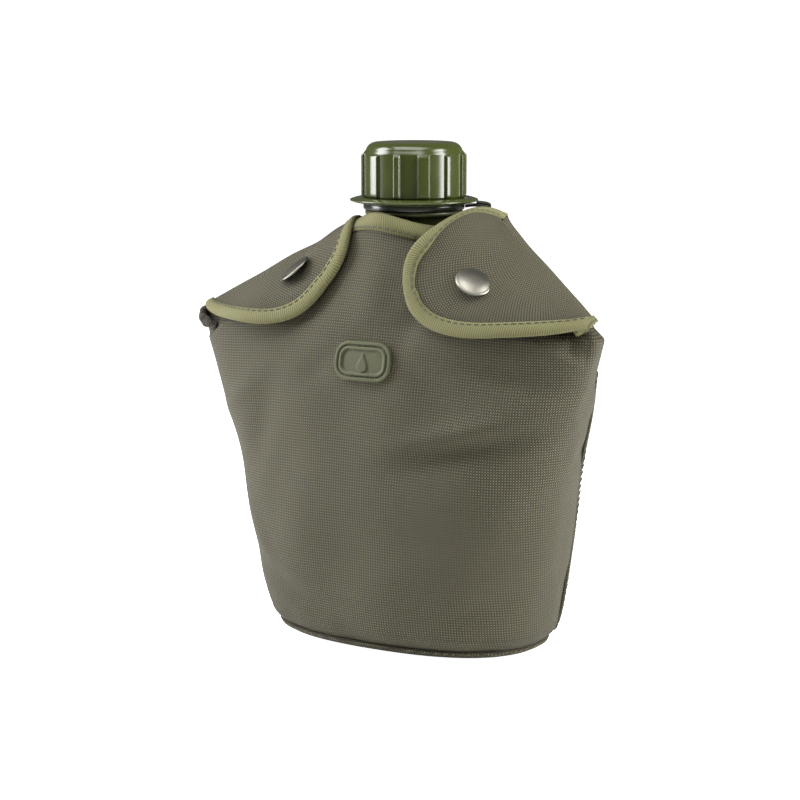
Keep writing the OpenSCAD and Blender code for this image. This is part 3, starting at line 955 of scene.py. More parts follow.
@dataclass
class Cover(Part):
    """The sewn cover: panels, base, lining, tapes, corner rolls and belt loops."""

    seam_z: float = 3.6
    front_seed: int = 11
    back_seed: int = 29
    seam_turn: float = 15.0
    cloth_thick: float = 1.5
    loop_half_w: float = 12.5
    loop_foot: float = 13.0
    loop_rise: float = 8.0
    creases: tuple[Crease, ...] = (
        Crease(46, 97, 14, 26, 4.5, 2.8), Crease(44, 88, 16, 26, 6, -3.2), Crease(66, 108, 8, 18, 6, 1.4),
        Crease(62, 70, 60, 26, 8, 1.3), Crease(70, 84, 25, 14, 4, -1.2), Crease(58, 120, -12, 20, 5, -1.6),
        Crease(-52, 88, 70, 22, 7, -1.8), Crease(-62, 104, 40, 16, 5, 1.3), Crease(-30, 60, 80, 34, 12, 1.1),
        Crease(10, 66, 85, 50, 18, 1.2), Crease(0, 150, 85, 16, 8, 2.2), Crease(20, 140, 62, 15, 5, -1.8),
        Crease(-20, 118, 35, 14, 5, -1.2), Crease(24, 116, -30, 14, 5, -1.3),
        Crease(12, 128, 75, 14, 6, -1.2), Crease(48, 22, 30, 20, 6, -1.5), Crease(-44, 26, -25, 20, 6, -1.4),
        Crease(-56, 44, -60, 18, 5, 1.0), Crease(30, 40, 20, 26, 8, 0.9))

    def relief(self, angle: Array, z: Array, seed: int, front: bool) -> Array:
        """Folds of the cloth: ripples, creases and puckers, calm at the edges and under the patch.

        Args:
            angle: angles in radians.
            z: heights.
            seed: random seed of the ripples.
            front: add the front's creases.
        Returns:
            Heights off the smooth wall.
        """
        x = self.form.cavity(angle, z)[..., 0]
        calm = np.clip((z - self.seam_z) / 18, 0, 1) * np.clip((self.form.top_z - z) / 18, 0, 1)
        total = 0.6 * ripples(x, z, seed) * calm
        if front:
            for crease in self.creases:
                total = total + crease(x, z) * np.clip((z - self.seam_z) / 10, 0, 1)
            total = total * (1 - 0.95 * np.exp(-(x / 19) ** 4 - ((z - 122) / 14) ** 4))
        pucker = np.exp(-((z - self.seam_z - 5) / 5) ** 2)
        total = total + 0.28 * pucker * ripples(x * 3, z * 0.6, seed + 5, 8)
        return total * np.clip(np.abs(np.sin(angle)) * 7, 0, 1)

    def gape(self, x: Array, z: Array) -> Array:
        """How far the front sinks behind a flap near a shoulder corner.

        Args:
            x: sideways places.
            z: heights.
        Returns:
            Depths.
        """
        f = self.form
        below = f.ear_z + (f.neck_z - f.ear_z) * (f.ear_w - np.abs(x)) / (f.ear_w - f.neck_w) - z
        reach = np.clip((np.abs(x) - 44) / 26, 0, 1)
        corner = np.clip((f.ear_w + 1 - np.abs(x)) / 9, 0, 1)
        return 7.5 * np.clip(1 - below / 13, 0, 1) ** 0.8 * reach ** 1.2 * corner

    def panel(self, name: str, start: float, end: float, seed: int, front: bool) -> bpy.types.Object:
        """One cloth panel: the wall between two angles, with its bottom edge turned in.

        Args:
            name: object name.
            start: first angle in degrees.
            end: last angle in degrees.
            seed: random seed.
            front: the panel is the front.
        Returns:
            The panel.
        """
        f = self.form
        cols, rows = 220, 170
        angle = np.radians(np.linspace(start, end, cols))[None]
        share = np.linspace(0, 1, rows)[:, None]
        top = f.front_top(angle) if front else np.full_like(angle, f.top_z)
        z = self.seam_z + (top - self.seam_z) * share
        angle = np.broadcast_to(angle, z.shape)
        tuck = -2.2 * np.clip(1 - (z - self.seam_z) / 5, 0, 1) ** 2
        off = f.cloth_out + self.relief(angle, z, seed, front) + tuck
        if front:
            ahead = np.clip(-6 * np.sin(angle), 0, 1)
            off = off - self.gape(f.cavity(angle, z)[..., 0], z) * ahead
        outer = f.skin(angle, z, off, True)
        inner = f.skin(angle, z, off - self.cloth_thick, True)
        return slab_mesh(name, outer, inner, flat_map(outer), Finish.CLOTH)

    def base(self) -> bpy.types.Object:
        """The base: a flat bottom with a soft rolled edge up to the seam.

        Returns:
            The base.
        """
        f = self.form
        turn = np.arange(240) * TAU / 240
        steps = [(-40, 1.2), (-20, 0.7), (-6, 0.15), (-1.5, 0.0), (0.6, 0.25), (1.9, 1.1), (2.5, 2.3),
                 (2.2, 3.4), (0.6, 3.9), (-3, 4.0), (-20, 4.0), (-40, 4.0)]
        rings = []
        for off, z in steps:
            ring = f.skin(turn, np.full_like(turn, max(z, 0.0)), min(max(off, -6), 3), True)
            shrink = 1 + min(off + 6, 0) / 40
            ring[:, :2] *= shrink
            ring[:, 2] = z
            rings.append(ring)
        points = np.stack(rings)
        points[[0, -1], :, :2] = 0
        faces = grid_faces(len(steps), len(turn), False, True)
        uv = points[..., :2].reshape(-1, 2)
        return weld(make_mesh("base_cloth", points.reshape(-1, 3), faces, Finish.CLOTH, uv))

    def lining(self, name: str, start: float, end: float, seed: int) -> bpy.types.Object:
        """A pile lining panel: a thick matted sheet inside the cloth.

        Args:
            name: object name.
            start: first angle in degrees.
            end: last angle in degrees.
            seed: random seed.
        Returns:
            The lining.
        """
        f = self.form
        angle, z = np.meshgrid(np.radians(np.linspace(start, end, 150)), np.linspace(4.5, 170, 110))
        x = f.cavity(angle, z)[..., 0]
        tuft = 0.35 * ripples(x, z, seed, 20, 3, 9)
        front = start > 170
        folds = self.relief(angle, z, self.front_seed if front else self.back_seed, front)
        sink = (self.gape(x, z) if front else 0) - folds
        outer = f.skin(angle, z, f.cloth_in - 0.4 - sink, True)
        inner = f.skin(angle, z, f.cloth_in - 2.4 + tuft - sink, True)
        return slab_mesh(name, outer, inner, flat_map(outer), Finish.PILE)

    def edge_tape(self, name: str, angles: Array, tops: Array) -> tuple[bpy.types.Object, bpy.types.Object]:
        """Binding folded over a top edge, with its row of stitches.

        Args:
            name: object name.
            angles: angles along the edge in radians.
            tops: heights of the edge.
        Returns:
            The tape and its stitches.
        """
        f = self.form
        fold = [(-6.6, 0.15), (-6.4, 0.75), (-3, 0.85), (-0.5, 0.7), (0.5, -0.1), (0.7, -0.9), (0.4, -1.8),
                (-0.5, -2.5), (-4, -2.6), (-6.3, -2.4), (-6.4, -1.7)]
        rows = []
        wave = 0.12 * ripples(f.cavity(angles, tops)[:, 0] * 4, tops, 3, 8)
        for down, off in fold:
            gap = self.relief(angles, tops + down, self.front_seed, True) * 0.6
            rows.append(f.skin(angles, tops + down + wave, f.cloth_out + off + gap, True))
        points = np.stack(rows, 1)
        points = np.concatenate([points, points[:, :1]], 1)
        faces = grid_faces(*points.shape[:2])[:, ::-1]
        tape = weld(make_mesh(name, points.reshape(-1, 3), faces, Finish.TAPE, strip_map(points, 0, 3)))
        sewn = tops - 5.2
        folds = self.relief(angles, sewn, self.front_seed, True) * 0.6
        line = f.skin(angles, sewn, f.cloth_out + 0.85 + folds, True)
        return tape, stitches(name + "_stitches", line, f.normal(angles, sewn))

    def build(self) -> None:
        """Build and place every piece of the cover that stays still."""
        f = self.form
        turn = self.seam_turn
        front = self.panel("front_cloth", 180.0 - turn, 360.0 + turn, self.front_seed, True)
        back = self.panel("back_cloth", turn, 180.0 - turn, self.back_seed, False)
        self.put(front, "body", "cover_cloth", "front_panel")
        self.put(back, "body", "cover_cloth", "back_panel")
        self.put(self.base(), "body", "cover_cloth", "base_panel", "base_welt")
        self.put(self.lining("front_pile", 181.5, 358.5, 5), "body", "pile_lining", "front_lining")
        self.put(self.lining("back_pile", 1.5, 178.5, 6), "body", "pile_lining", "back_lining")
        angles = np.radians(np.linspace(206, 334, 160))
        tape, row = self.edge_tape("front_neck_binding", angles, f.front_top(angles))
        self.put(tape, "body", "binding_tape", "front_neck_tape")
        self.put(row, "body", "binding_tape")
        angles = np.radians(np.linspace(24, 156, 160))
        tape, row = self.edge_tape("back_neck_binding", angles, np.full_like(angles, f.top_z))
        self.put(tape, "body", "binding_tape", "back_neck_tape")
        self.put(row, "body", "binding_tape")
        for side, word in ((-1, "left"), (1, "right")):
            self.side_seam(side, word)
            self.corner_roll(LEFT_ROLL if side < 0 else RIGHT_ROLL, word)
            self.belt_loop(word)
        self.base_seam()

    def side_seam(self, side: int, word: str) -> None:
        """A lapped side seam: a narrow raised strip with a row of stitches down each edge.

        Args:
            side: minus one for left.
            word: left or right.
        """
        f = self.form
        z = np.linspace(7, f.ear_z - 14, 120)
        turn = math.radians(self.seam_turn)
        centre = turn if side > 0 else math.pi - turn
        spans = [(-3.6, -0.6), (-3.4, 0.35), (-2.2, 0.6), (2.2, 0.6), (3.4, 0.35), (3.6, -0.6)]
        wave = 0.2 * ripples(z, z * 0.3, 8)
        rows = [f.skin(centre + np.radians(a), z, f.cloth_out + off + wave, True) for a, off in spans]
        points = np.stack(rows, 1)
        points = np.concatenate([points, points[:, :1]], 1)
        faces = grid_faces(*points.shape[:2])
        strip = weld(make_mesh(word + "_seam_strip", points.reshape(-1, 3), faces, Finish.CLOTH,
                               flat_map(points).reshape(-1, 2)))
        self.put(strip, "body", "cover_cloth", word + "_side_tape")
        for edge, aside in (("a", -2.2), ("b", 2.2)):
            angle = np.full_like(z, centre + math.radians(aside))
            row = stitches(f"{word}_seam_stitches_{edge}", f.skin(angle, z, f.cloth_out + 0.6, True),
                           f.normal(angle, z))
            self.put(row, "body", "binding_tape")

    def corner_roll(self, roll: CornerRoll, word: str) -> None:
        """The bunched cloth at a shoulder corner: a lumpy roll that thins to both ends.

        Args:
            roll: where it lies and what it is made of.
            word: left or right.
        """
        f = self.form
        rows, cols = 60, 28
        t = np.linspace(0, 1, rows)
        turn = roll.start + roll.span * t
        angle = math.pi + turn if roll.side < 0 else TAU - turn
        centre = f.skin(angle, f.ear_z + roll.rise - roll.fall * t, 1.2 + 1.6 * np.sin(math.pi * t))
        along = unit(np.gradient(centre, axis=0))
        out = unit(np.cross(along, np.broadcast_to([0, 0, 1.0], along.shape)))
        up = unit(np.cross(out, along))
        ring = np.arange(cols) * TAU / cols
        size = roll.radius * np.sin(math.pi * np.clip(0.08 + 0.84 * t, 0, 1)) ** 0.5
        lumps = 1 + 0.16 * np.sin(t * 16 + 2.0 * roll.side)[:, None] * np.cos(2 * ring + 1)[None]
        radius = (size[:, None] * lumps)[..., None]
        points = centre[:, None] + radius * (np.cos(ring)[None, :, None] * up[:, None]
                                             + np.sin(ring)[None, :, None] * out[:, None])
        ends = [np.broadcast_to(centre[k], (1, cols, 3)) for k in (0, -1)]
        points = np.concatenate([ends[0], points, ends[1]])
        faces = grid_faces(rows + 2, cols, False, True)
        uv = np.stack(np.broadcast_arrays(np.linspace(0, 24, rows + 2)[:, None], ring[None] * 3), -1)
        obj = make_mesh(word + "_ear_roll", points.reshape(-1, 3), faces, roll.finish, uv.reshape(-1, 2))
        self.put(weld(obj), "body", roll.slot)

    def base_seam(self) -> None:
        """The row of stitches above the base seam."""
        f = self.form
        angle = np.linspace(0, TAU, 300)
        z = np.full_like(angle, self.seam_z + 5.5)
        off = f.cloth_out + np.where(np.sin(angle) < 0, self.relief(angle, z, self.front_seed, True),
                                     self.relief(angle, z, self.back_seed, False))
        line = f.skin(angle, z, off, True)
        row = stitches("base_seam_stitches", line, f.normal(angle, z), 3.0, 2.0, 0.4, 0.02)
        self.put(row, "body", "binding_tape")

    def belt_loop(self, word: str) -> None:
        """A belt loop: webbing sewn down at both ends, standing off the back between.

        Args:
            word: left or right.
        """
        low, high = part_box(word + "_belt_loop")
        x = (low.x + high.x) / 2 / MM
        z = np.linspace(low.z / MM, high.z / MM, 90)
        share = (z - z[0]) / (z[-1] - z[0])
        foot = self.loop_foot / (z[-1] - z[0])
        rise = np.clip(np.minimum(share - foot, 1 - foot - share) / 0.1, 0, 1)
        f, half = self.form, self.loop_half_w

        def wall(at: float) -> Array:
            """Y of the back wall at a sideways place.

            Args:
                at: sideways place.
            Returns:
                Y at every height of the loop.
            """
            c = np.minimum(abs(at) / f.half_width(z), 1) ** (1 / f.power_x(z))
            return f.skin(np.arccos(c), z, f.cloth_out)[:, 1]

        back = np.max([wall(abs(x) - half), wall(abs(x)), wall(abs(x) + half)], axis=0)
        y = back + 0.9 + self.loop_rise * (3 - 2 * rise) * rise ** 2
        path = np.stack([np.full_like(z, x), y, z], -1)
        along = unit(np.gradient(path, axis=0))
        wide = np.broadcast_to(np.array([1.0, 0, 0]), path.shape)
        out = unit(np.cross(wide, along)) * -1
        outline = rounded([(-half, -0.7), (half, -0.7), (half, 0.7), (-half, 0.7)], 0.5)
        web = sweep(word + "_belt_webbing", path, wide, out, outline, Finish.WEB)
        self.put(web, "body", "loop_webbing", word + "_belt_loop")
        across = np.linspace(x - 10, x + 10, 20)
        for end, at in (("low", 6), ("high", 83)):
            face = np.full(20, y[at] + 0.75)
            slant = np.linspace(z[at] - 5, z[at] + 5, 20)
            heights = [np.full(20, z[at] - 5), np.full(20, z[at] + 5), slant, slant[::-1]]
            for k, height in enumerate(heights):
                line = np.stack([across, face, height], -1)
                up = np.broadcast_to(np.array([0, 1.0, 0]), line.shape)
                row = stitches(f"{word}_loop_{end}_stitches_{k}", line, up, 2.4, 1.9, 0.5, 0.0)
                self.put(row, "body", "binding_tape")


@dataclass
class Patch(Part):
    """The moulded patch on the front: raised double rim, stitched groove and a plain drop."""

    half_w: float = 13.0
    half_h: float = 8.0
    corner: float = 6.5
    z: float = 122.0
    rise: float = 1.5
    groove_in: float = 1.9
    sunk: float = 0.75

    def build(self) -> None:
        """Build the patch as rings shrinking to its middle, lifted by the distance from its edge."""
        f = self.form
        turn = np.arange(320) * TAU / 320
        c, s = np.cos(turn), np.sin(turn)
        inner_w, inner_h = self.half_w - self.corner, self.half_h - self.corner
        edge = np.stack([np.sign(c) * inner_w * np.minimum(np.abs(c) * 3, 1) + self.corner * c,
                         np.sign(s) * inner_h * np.minimum(np.abs(s) * 3, 1) + self.corner * s], -1)
        share = np.concatenate([[1.0, 1.0, 0.997], np.linspace(0.985, 0, 70)])
        flat = edge[None] * share[:, None, None]
        q = np.abs(flat) - np.array([inner_w, inner_h])
        inside = self.corner - np.linalg.norm(np.maximum(q, 0), axis=-1) - np.minimum(q.max(-1), 0)
        rim = np.clip(inside / 0.35, 0, 1) * self.rise
        groove = self.sunk * np.exp(-((inside - self.groove_in) / 0.42) ** 4)
        middle = self.sunk * np.clip((inside - 3.3) / 0.35, 0, 1)
        drop_r = np.hypot(flat[..., 0], flat[..., 1] * 0.8 + 0.5)
        taper = 2.3 * np.clip(1.15 - (flat[..., 1] + 2) / 4.6, 0.02, 1)
        drop = 0.6 * np.clip(np.minimum(taper - np.abs(flat[..., 0]), 3.1 - drop_r) / 0.3, 0, 1)
        lift = rim - groove - middle + drop
        lift[0] = -0.6
        x, z = flat[..., 0], self.z + flat[..., 1]
        points = f.skin(f.front_angle(x, z), z, f.cloth_out + 0.2 + lift, True)
        faces = grid_faces(*points.shape[:2], False, True)
        obj = make_mesh("moulded_patch", points.reshape(-1, 3), faces, Finish.RUBBER, flat.reshape(-1, 2))
        self.put(weld(obj), "body", "patch_rubber", "front_patch")
        loop = edge * (1 - self.groove_in / np.hypot(edge[:, 0], edge[:, 1]))[:, None]
        x, z = loop[:, 0], self.z + loop[:, 1]
        angle = f.front_angle(x, z)
        line = f.skin(angle, z, f.cloth_out + 1.0, True)
        row = stitches("patch_stitches", line, f.normal(angle, z), 2.4, 1.7, 0.6, 0.1)
        self.put(row, "body", "patch_rubber")


@dataclass
class Flap(Part):
    """A shoulder flap: cloth folded over the ridge, bound edge, and its half of the snap fastener."""

    side: int = 1
    word: str = "right"
    snap_x: float = 41.0
    snap_z: float = 150.5
    neck_curve: tuple = ((1.5, 0.02), (-13, -0.6), (-17, 19), (2, 30))
    foot_curve: tuple = ((2, 30), (18, 39), (42, 23.5), (69, 0))
    ridge_rise: float = 0.4
    neck_rise: float = 4.2
    tape_wide: float = 5.6

    @property
    def body(self) -> str:
        """Name of the flap's body.

        Returns:
            The name.
        """
        return self.word + "_flap"

    @property
    def mirror(self) -> Array:
        """Factors that carry the right side over to the flap's side.

        Returns:
            Factors of x, y and z.
        """
        return np.array([self.side, 1, 1])

    def edge(self, u: Array) -> Array:
        """The flap's edge, as distance along the ridge and below it: two cubic arcs.

        Args:
            u: places along the edge, 0 to 1.
        Returns:
            Points of the edge.
        """
        def arc(p: tuple, t: Array) -> Array:
            """A cubic arc through its control points.

            Args:
                p: four control points.
                t: places along the arc, 0 to 1.
            Returns:
                Points.
            """
            q, t = np.array(p, float), t[..., None]
            return ((1 - t) ** 3 * q[0] + 3 * (1 - t) ** 2 * t * q[1]
                    + 3 * (1 - t) * t ** 2 * q[2] + t ** 3 * q[3])

        u = np.asarray(u, float)
        neck, foot = arc(self.neck_curve, 2 * u), arc(self.foot_curve, 2 * u - 1)
        return np.where((u < 0.5)[..., None], neck, foot)

    def place(self, sd: Array, off: Array) -> Array:
        """Put a point of the flat flap on the cover's front.

        Args:
            sd: distances along and below the ridge.
            off: distances off the cavity wall.
        Returns:
            Points.
        """
        f = replace(self.form, ridge_only=True)
        a, b = np.array([f.neck_w, f.neck_z]), np.array([f.ear_w, f.ear_z])
        along = (b - a) / np.linalg.norm(b - a)
        down = np.array([along[1], -along[0]])
        p = a + sd[..., :1] * along + sd[..., 1:] * down
        points = f.skin(f.front_angle(p[..., 0], p[..., 1]), p[..., 1], off + self.sag(sd))
        return points * self.mirror

    def sag(self, sd: Array) -> Array:
        """How the flap lies: pulled down at the snap, swelling between, lifting along its foot.

        Args:
            sd: distances along and below the ridge.
        Returns:
            Heights to add.
        """
        s, d = sd[..., 0], sd[..., 1]
        neck = self.neck_rise * np.exp(-((s + 6) / 6.5) ** 2 - (d / 9) ** 2)
        ridge = self.ridge_rise * np.exp(-(d / 12) ** 2)
        seat = np.exp(-((s - 19) / 9) ** 2 - ((d - 13) / 9) ** 2) * (0.24 * (d - 13) - 0.5)
        foot = 2.2 * np.exp(-((s - 46) / 17) ** 2) * np.clip((d - 4) / 16, 0, 1)
        swell = 0.9 * np.exp(-((s - 38) / 12) ** 2 - ((d - 10) / 9) ** 2)
        return neck + ridge + seat + foot + swell + 0.22 * ripples(s, d, 40 + self.side, 10, 16, 50)

    def cloth(self) -> bpy.types.Object:
        """The flap's cloth, carried over the ridge on to the back.

        Returns:
            The cloth.
        """
        f = self.form
        u, v = np.meshgrid(np.linspace(0.004, 0.98, 120), np.linspace(0, 1, 60))
        e = self.edge(u)
        root = np.stack([-0.9 + 67.9 * u, np.full_like(u, 0.3)], -1)
        sd = root + (e - root) * v[..., None]
        ridge_z = f.neck_z + (f.ear_z - f.neck_z) * np.clip(root[0, :, 0] / 71.0, 0, 1)
        back = 0.3
        behind = np.linspace(back, 0.0, 14)[:-1, None]
        za = np.broadcast_to(ridge_z, (len(behind), len(ridge_z)))
        sheets = []
        for off, back_off in ((f.flap_out, f.cloth_out + 1.4), (f.flap_in, f.cloth_out + 0.1)):
            front = self.place(sd, off)
            raised = self.sag(root[:1])
            t = off + raised + (back_off - off - raised) * (behind / back) ** 0.8
            rear = f.skin(np.broadcast_to(behind, za.shape), za, np.broadcast_to(t, za.shape))
            sheets.append(np.concatenate([rear * self.mirror, front]))
        outer, inner = sheets
        if self.side > 0:
            outer, inner = outer[:, ::-1], inner[:, ::-1]
        outer, inner = outer[::-1], inner[::-1]
        return slab_mesh(self.word + "_flap_cloth", outer, inner, flat_map(outer), Finish.CLOTH)

    def reach(self, e: Array, inward: Array, off: float) -> Array:
        """How far to step over the flat flap for the tape to keep its width on the laid surface.

        Args:
            e: points of the edge.
            inward: directions across the tape.
            off: distance off the cavity wall.
        Returns:
            Shares of the flat width, smoothed along the edge.
        """
        wide = self.tape_wide
        steps = np.linspace(0, 1.5 * wide, 40)
        across = e[:, None] + inward[:, None] * steps[:, None]
        track = self.place(across, np.full((len(e), len(steps)), off))
        run = np.cumsum(np.linalg.norm(np.diff(track, axis=1), axis=-1), 1)
        found = np.array([np.interp(wide, row, steps[1:]) for row in run]) / wide
        return np.convolve(np.pad(found, 7, "edge"), np.ones(15) / 15, "valid")

    def binding(self) -> tuple[bpy.types.Object, bpy.types.Object]:
        """The tape folded over the flap's edge, with its row of stitches.

        Returns:
            The tape and its stitches.
        """
        f = self.form
        u = np.linspace(0.0, 1.0, 220)
        e = self.edge(u)
        tangent = unit(np.gradient(e, axis=0))
        inward = np.stack([tangent[:, 1], -tangent[:, 0]], -1)
        away = np.sum(inward * (np.array([26, 10]) - e), -1) < 0
        inward = np.where(away[:, None], -inward, inward)
        hub = unit(np.array([self.foot_curve[0][0], 14.0]) - e)
        turned = np.exp(-(u / 0.07) ** 2)[:, None]
        hub = unit(hub * (1 - turned) + np.array([1.0, 0.1]) * turned)
        inward = np.where((u < 0.5)[:, None], hub, inward)
        mid = (f.flap_in + f.flap_out) / 2
        half = (f.flap_out - f.flap_in) / 2
        wide = self.tape_wide
        fold = [(wide, half + 0.05), (wide - 0.1, half + 0.7), (3, half + 0.85), (0.8, half + 0.75),
                (-0.4, half), (-0.8, 0), (-0.4, -half), (0.8, -half - 0.6), (3, -half - 0.7),
                (wide - 0.1, -half - 0.6), (wide, -half - 0.05)]
        inward = inward * self.reach(e, inward, f.flap_out)[:, None]
        points = np.stack([self.place(e + inward * k, mid + off) for k, off in fold], 1)
        points = np.concatenate([points, points[:, :1]], 1)
        faces = grid_faces(*points.shape[:2])
        if self.side > 0:
            faces = faces[:, ::-1]
        name = self.word + "_flap_binding"
        tape = weld(make_mesh(name, points.reshape(-1, 3), faces, Finish.TAPE, strip_map(points, 100, 2)))
        sewn = e + inward * (wide - 1)
        line = self.place(sewn, np.full(len(u), f.flap_out + 0.75))
        above = self.place(sewn, np.full(len(u), f.flap_out + 1.75))
        return tape, stitches(name + "_stitches", line[4:-4], unit(above - line)[4:-4])

    def snap(self) -> None:
        """The snap fastener: cap and socket on the flap, stud on the front."""
        f = self.form
        x, z = np.array([self.snap_x]), np.array([self.snap_z])
        angle = f.front_angle(x, z)
        normal = f.normal(angle, z)[0] * self.mirror
        foot = f.cavity(angle, z)[0] * self.mirror
        dome = np.array([(0.0, 0.0), (6.6, 0.0), (7.2, 0.15), (7.5, 0.55), (7.3, 0.95), (6.9, 1.15),
                         (6.5, 1.12), (6.2, 1.2), (5.2, 1.5), (3.6, 1.8), (1.8, 1.97), (0.0, 2.0)])
        socket = rounded([(4.0, 0.0), (5.8, 0.0), (6.0, 1.3), (4.0, 1.3)], 0.3)
        stud = rounded([(0.0, 0.0), (5.4, 0.0), (5.4, 0.35), (1.9, 0.5), (2.4, 1.2), (1.8, 1.7),
                        (0.0, 1.7)], 0.2)
        seated = unit(np.array([0.5 * self.side, -0.42, 0.76]))
        for name, profile, off, facing, body in (
                ("snap_cap", dome, f.flap_out + 0.7, seated, self.body),
                ("snap_socket", socket, f.cloth_out + 0.6, normal, self.body),
                ("snap_stud", stud, f.cloth_out + 0.1, normal, "body")):
            obj = revolve(f"{self.word}_{name}_metal", profile, Finish.NICKEL, 64)
            move = Matrix.Translation(Vector((foot + normal * off) * MM))
            turn = Vector(facing).to_track_quat("Z", "Y").to_matrix()
            obj.data.transform(move @ turn.to_4x4())
            self.put(obj, body, "snap_metal", f"{self.word}_{name}")

    def build(self) -> None:
        """Build the flap's pieces."""
        cloth = self.cloth()
        joint = next(j for j in frame["joints"] if j["child"] == self.body)
        hinge, axis = np.array(joint["pos_m"]), unit(np.array(joint["axis"], float))
        ahead = unit(np.cross(axis, np.array([0, 0.0, 1.0])))
        ahead = ahead if ahead[1] < 0 else -ahead
        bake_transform(cloth)
        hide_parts(self.word + "_flap")
        self.pieces.append(cloth)
        tape, row = self.binding()
        self.put(tape, self.body, "binding_tape", self.word + "_flap_tape")
        self.put(row, self.body, "binding_tape")
        self.snap()


# ---------------------------------------------------------------- bottle and cap
@dataclass
class Bottle(Part):
    """The blown bottle: body, round shoulders and a threaded neck with its flange."""

    neck_r: float = 18.0
    bore_r: float = 15.0
    lip_z: float = 203.4
    shoulder_z: float = 166.0
    pitch: float = 5.0
    thread_z: float = 190.4
    base_z: float = 2.6
    wall: float = 1.8

    def ring(self, z: float, turn: Array, inset: float) -> Array:
        """One ring of the body: the cover's section drawn in, growing round towards the neck.

        Args:
            z: height.
            turn: angles in radians.
            inset: distance in from the outside.
        Returns:
            Points.
        """
        edge = 5 * ((16 - z) / (16 - self.base_z)) ** 2 if z < 16 else 0
        top = ((z - 134) / (self.shoulder_z - 134)) ** 2 if z > 134 else 0
        slim = 0.93 if z < 90 else 0.93 + (0.62 - 0.93) * ((z - 90) / (self.shoulder_z - 90)) ** 1.7
        p = self.form.skin(turn, np.full_like(turn, z), -2.5 - inset - edge, True)
        r = self.neck_r + 1.4 - inset
        return np.stack([p[:, 0] * slim / 0.93 * (1 - top) + r * np.cos(turn) * top,
                         p[:, 1] * (1 - top) + r * np.sin(turn) * top, np.full_like(turn, z)], -1)

    def build(self) -> None:
        """Build the bottle as one closed skin, and its thread as a swept ridge."""
        turn = np.arange(144) * TAU / 144
        heights = [self.base_z, 3.2, 4.5, 7, 11, 18, 32, 50, 70, 90, 108, 122, 134, 144, 152, 159, 163.5,
                   self.shoulder_z]
        rings = [self.ring(z, turn, 0.0) for z in heights]
        out, bore, lip = self.neck_r, self.bore_r, self.lip_z
        neck = [(out + 0.5, 167.4), (out, 169), (out, 178.2), (20.0, 178.6), (20.2, 178.9), (20.2, 179.8),
                (20.0, 180.1), (out, 180.3), (out, lip - 0.5), (out - 0.5, lip), (bore + 0.5, lip),
                (bore, lip - 0.5), (bore, 164)]
        rings += [np.stack([r * np.cos(turn), r * np.sin(turn), np.full_like(turn, z)], -1) for r, z in neck]
        rings += [self.ring(z, turn, self.wall) for z in (159, 152, 134, 108, 70, 32, 11, 5)]
        rings = [rings[0] * np.array([0, 0, 1])] + rings + [rings[-1] * np.array([0, 0, 1])]
        points = np.stack(rings)
        faces = grid_faces(*points.shape[:2], False, True)
        body = weld(make_mesh("bottle_moulding", points.reshape(-1, 3), faces, Finish.BOTTLE))
        self.put(body, "body", "bottle_plastic", "bottle_body")
        self.put(self.thread(), "body", "bottle_plastic")

    def thread(self) -> bpy.types.Object:
        """The screw thread: a rounded ridge climbing one pitch in each turn, faded at its ends.

        Returns:
            The thread.
        """
        n = 180
        turn = np.linspace(0, 1.3 * TAU, n)
        z = self.thread_z + self.pitch * turn / TAU
        fade = np.minimum(1, np.minimum(np.arange(n), np.arange(n)[::-1]) / 16 + 0.05)
        out = np.stack([np.cos(turn), np.sin(turn), 0 * turn], -1)
        shape = np.array([(-0.5, -1.1), (0.75, -0.5), (1.05, 0.0), (0.75, 0.5), (-0.5, 1.1)])
        grow = np.where(shape[None, :, :1] > 0, shape[None, :, :1] * fade[:, None, None], shape[None, :, :1])
        points = (out[:, None] * (self.neck_r + grow)
                  + np.array([0, 0, 1.0]) * (z[:, None, None] + shape[None, :, 1:]))
        faces = grid_faces(n, len(shape), False, True)
        return make_mesh("bottle_thread", points.reshape(-1, 3), faces[:, ::-1], Finish.BOTTLE)


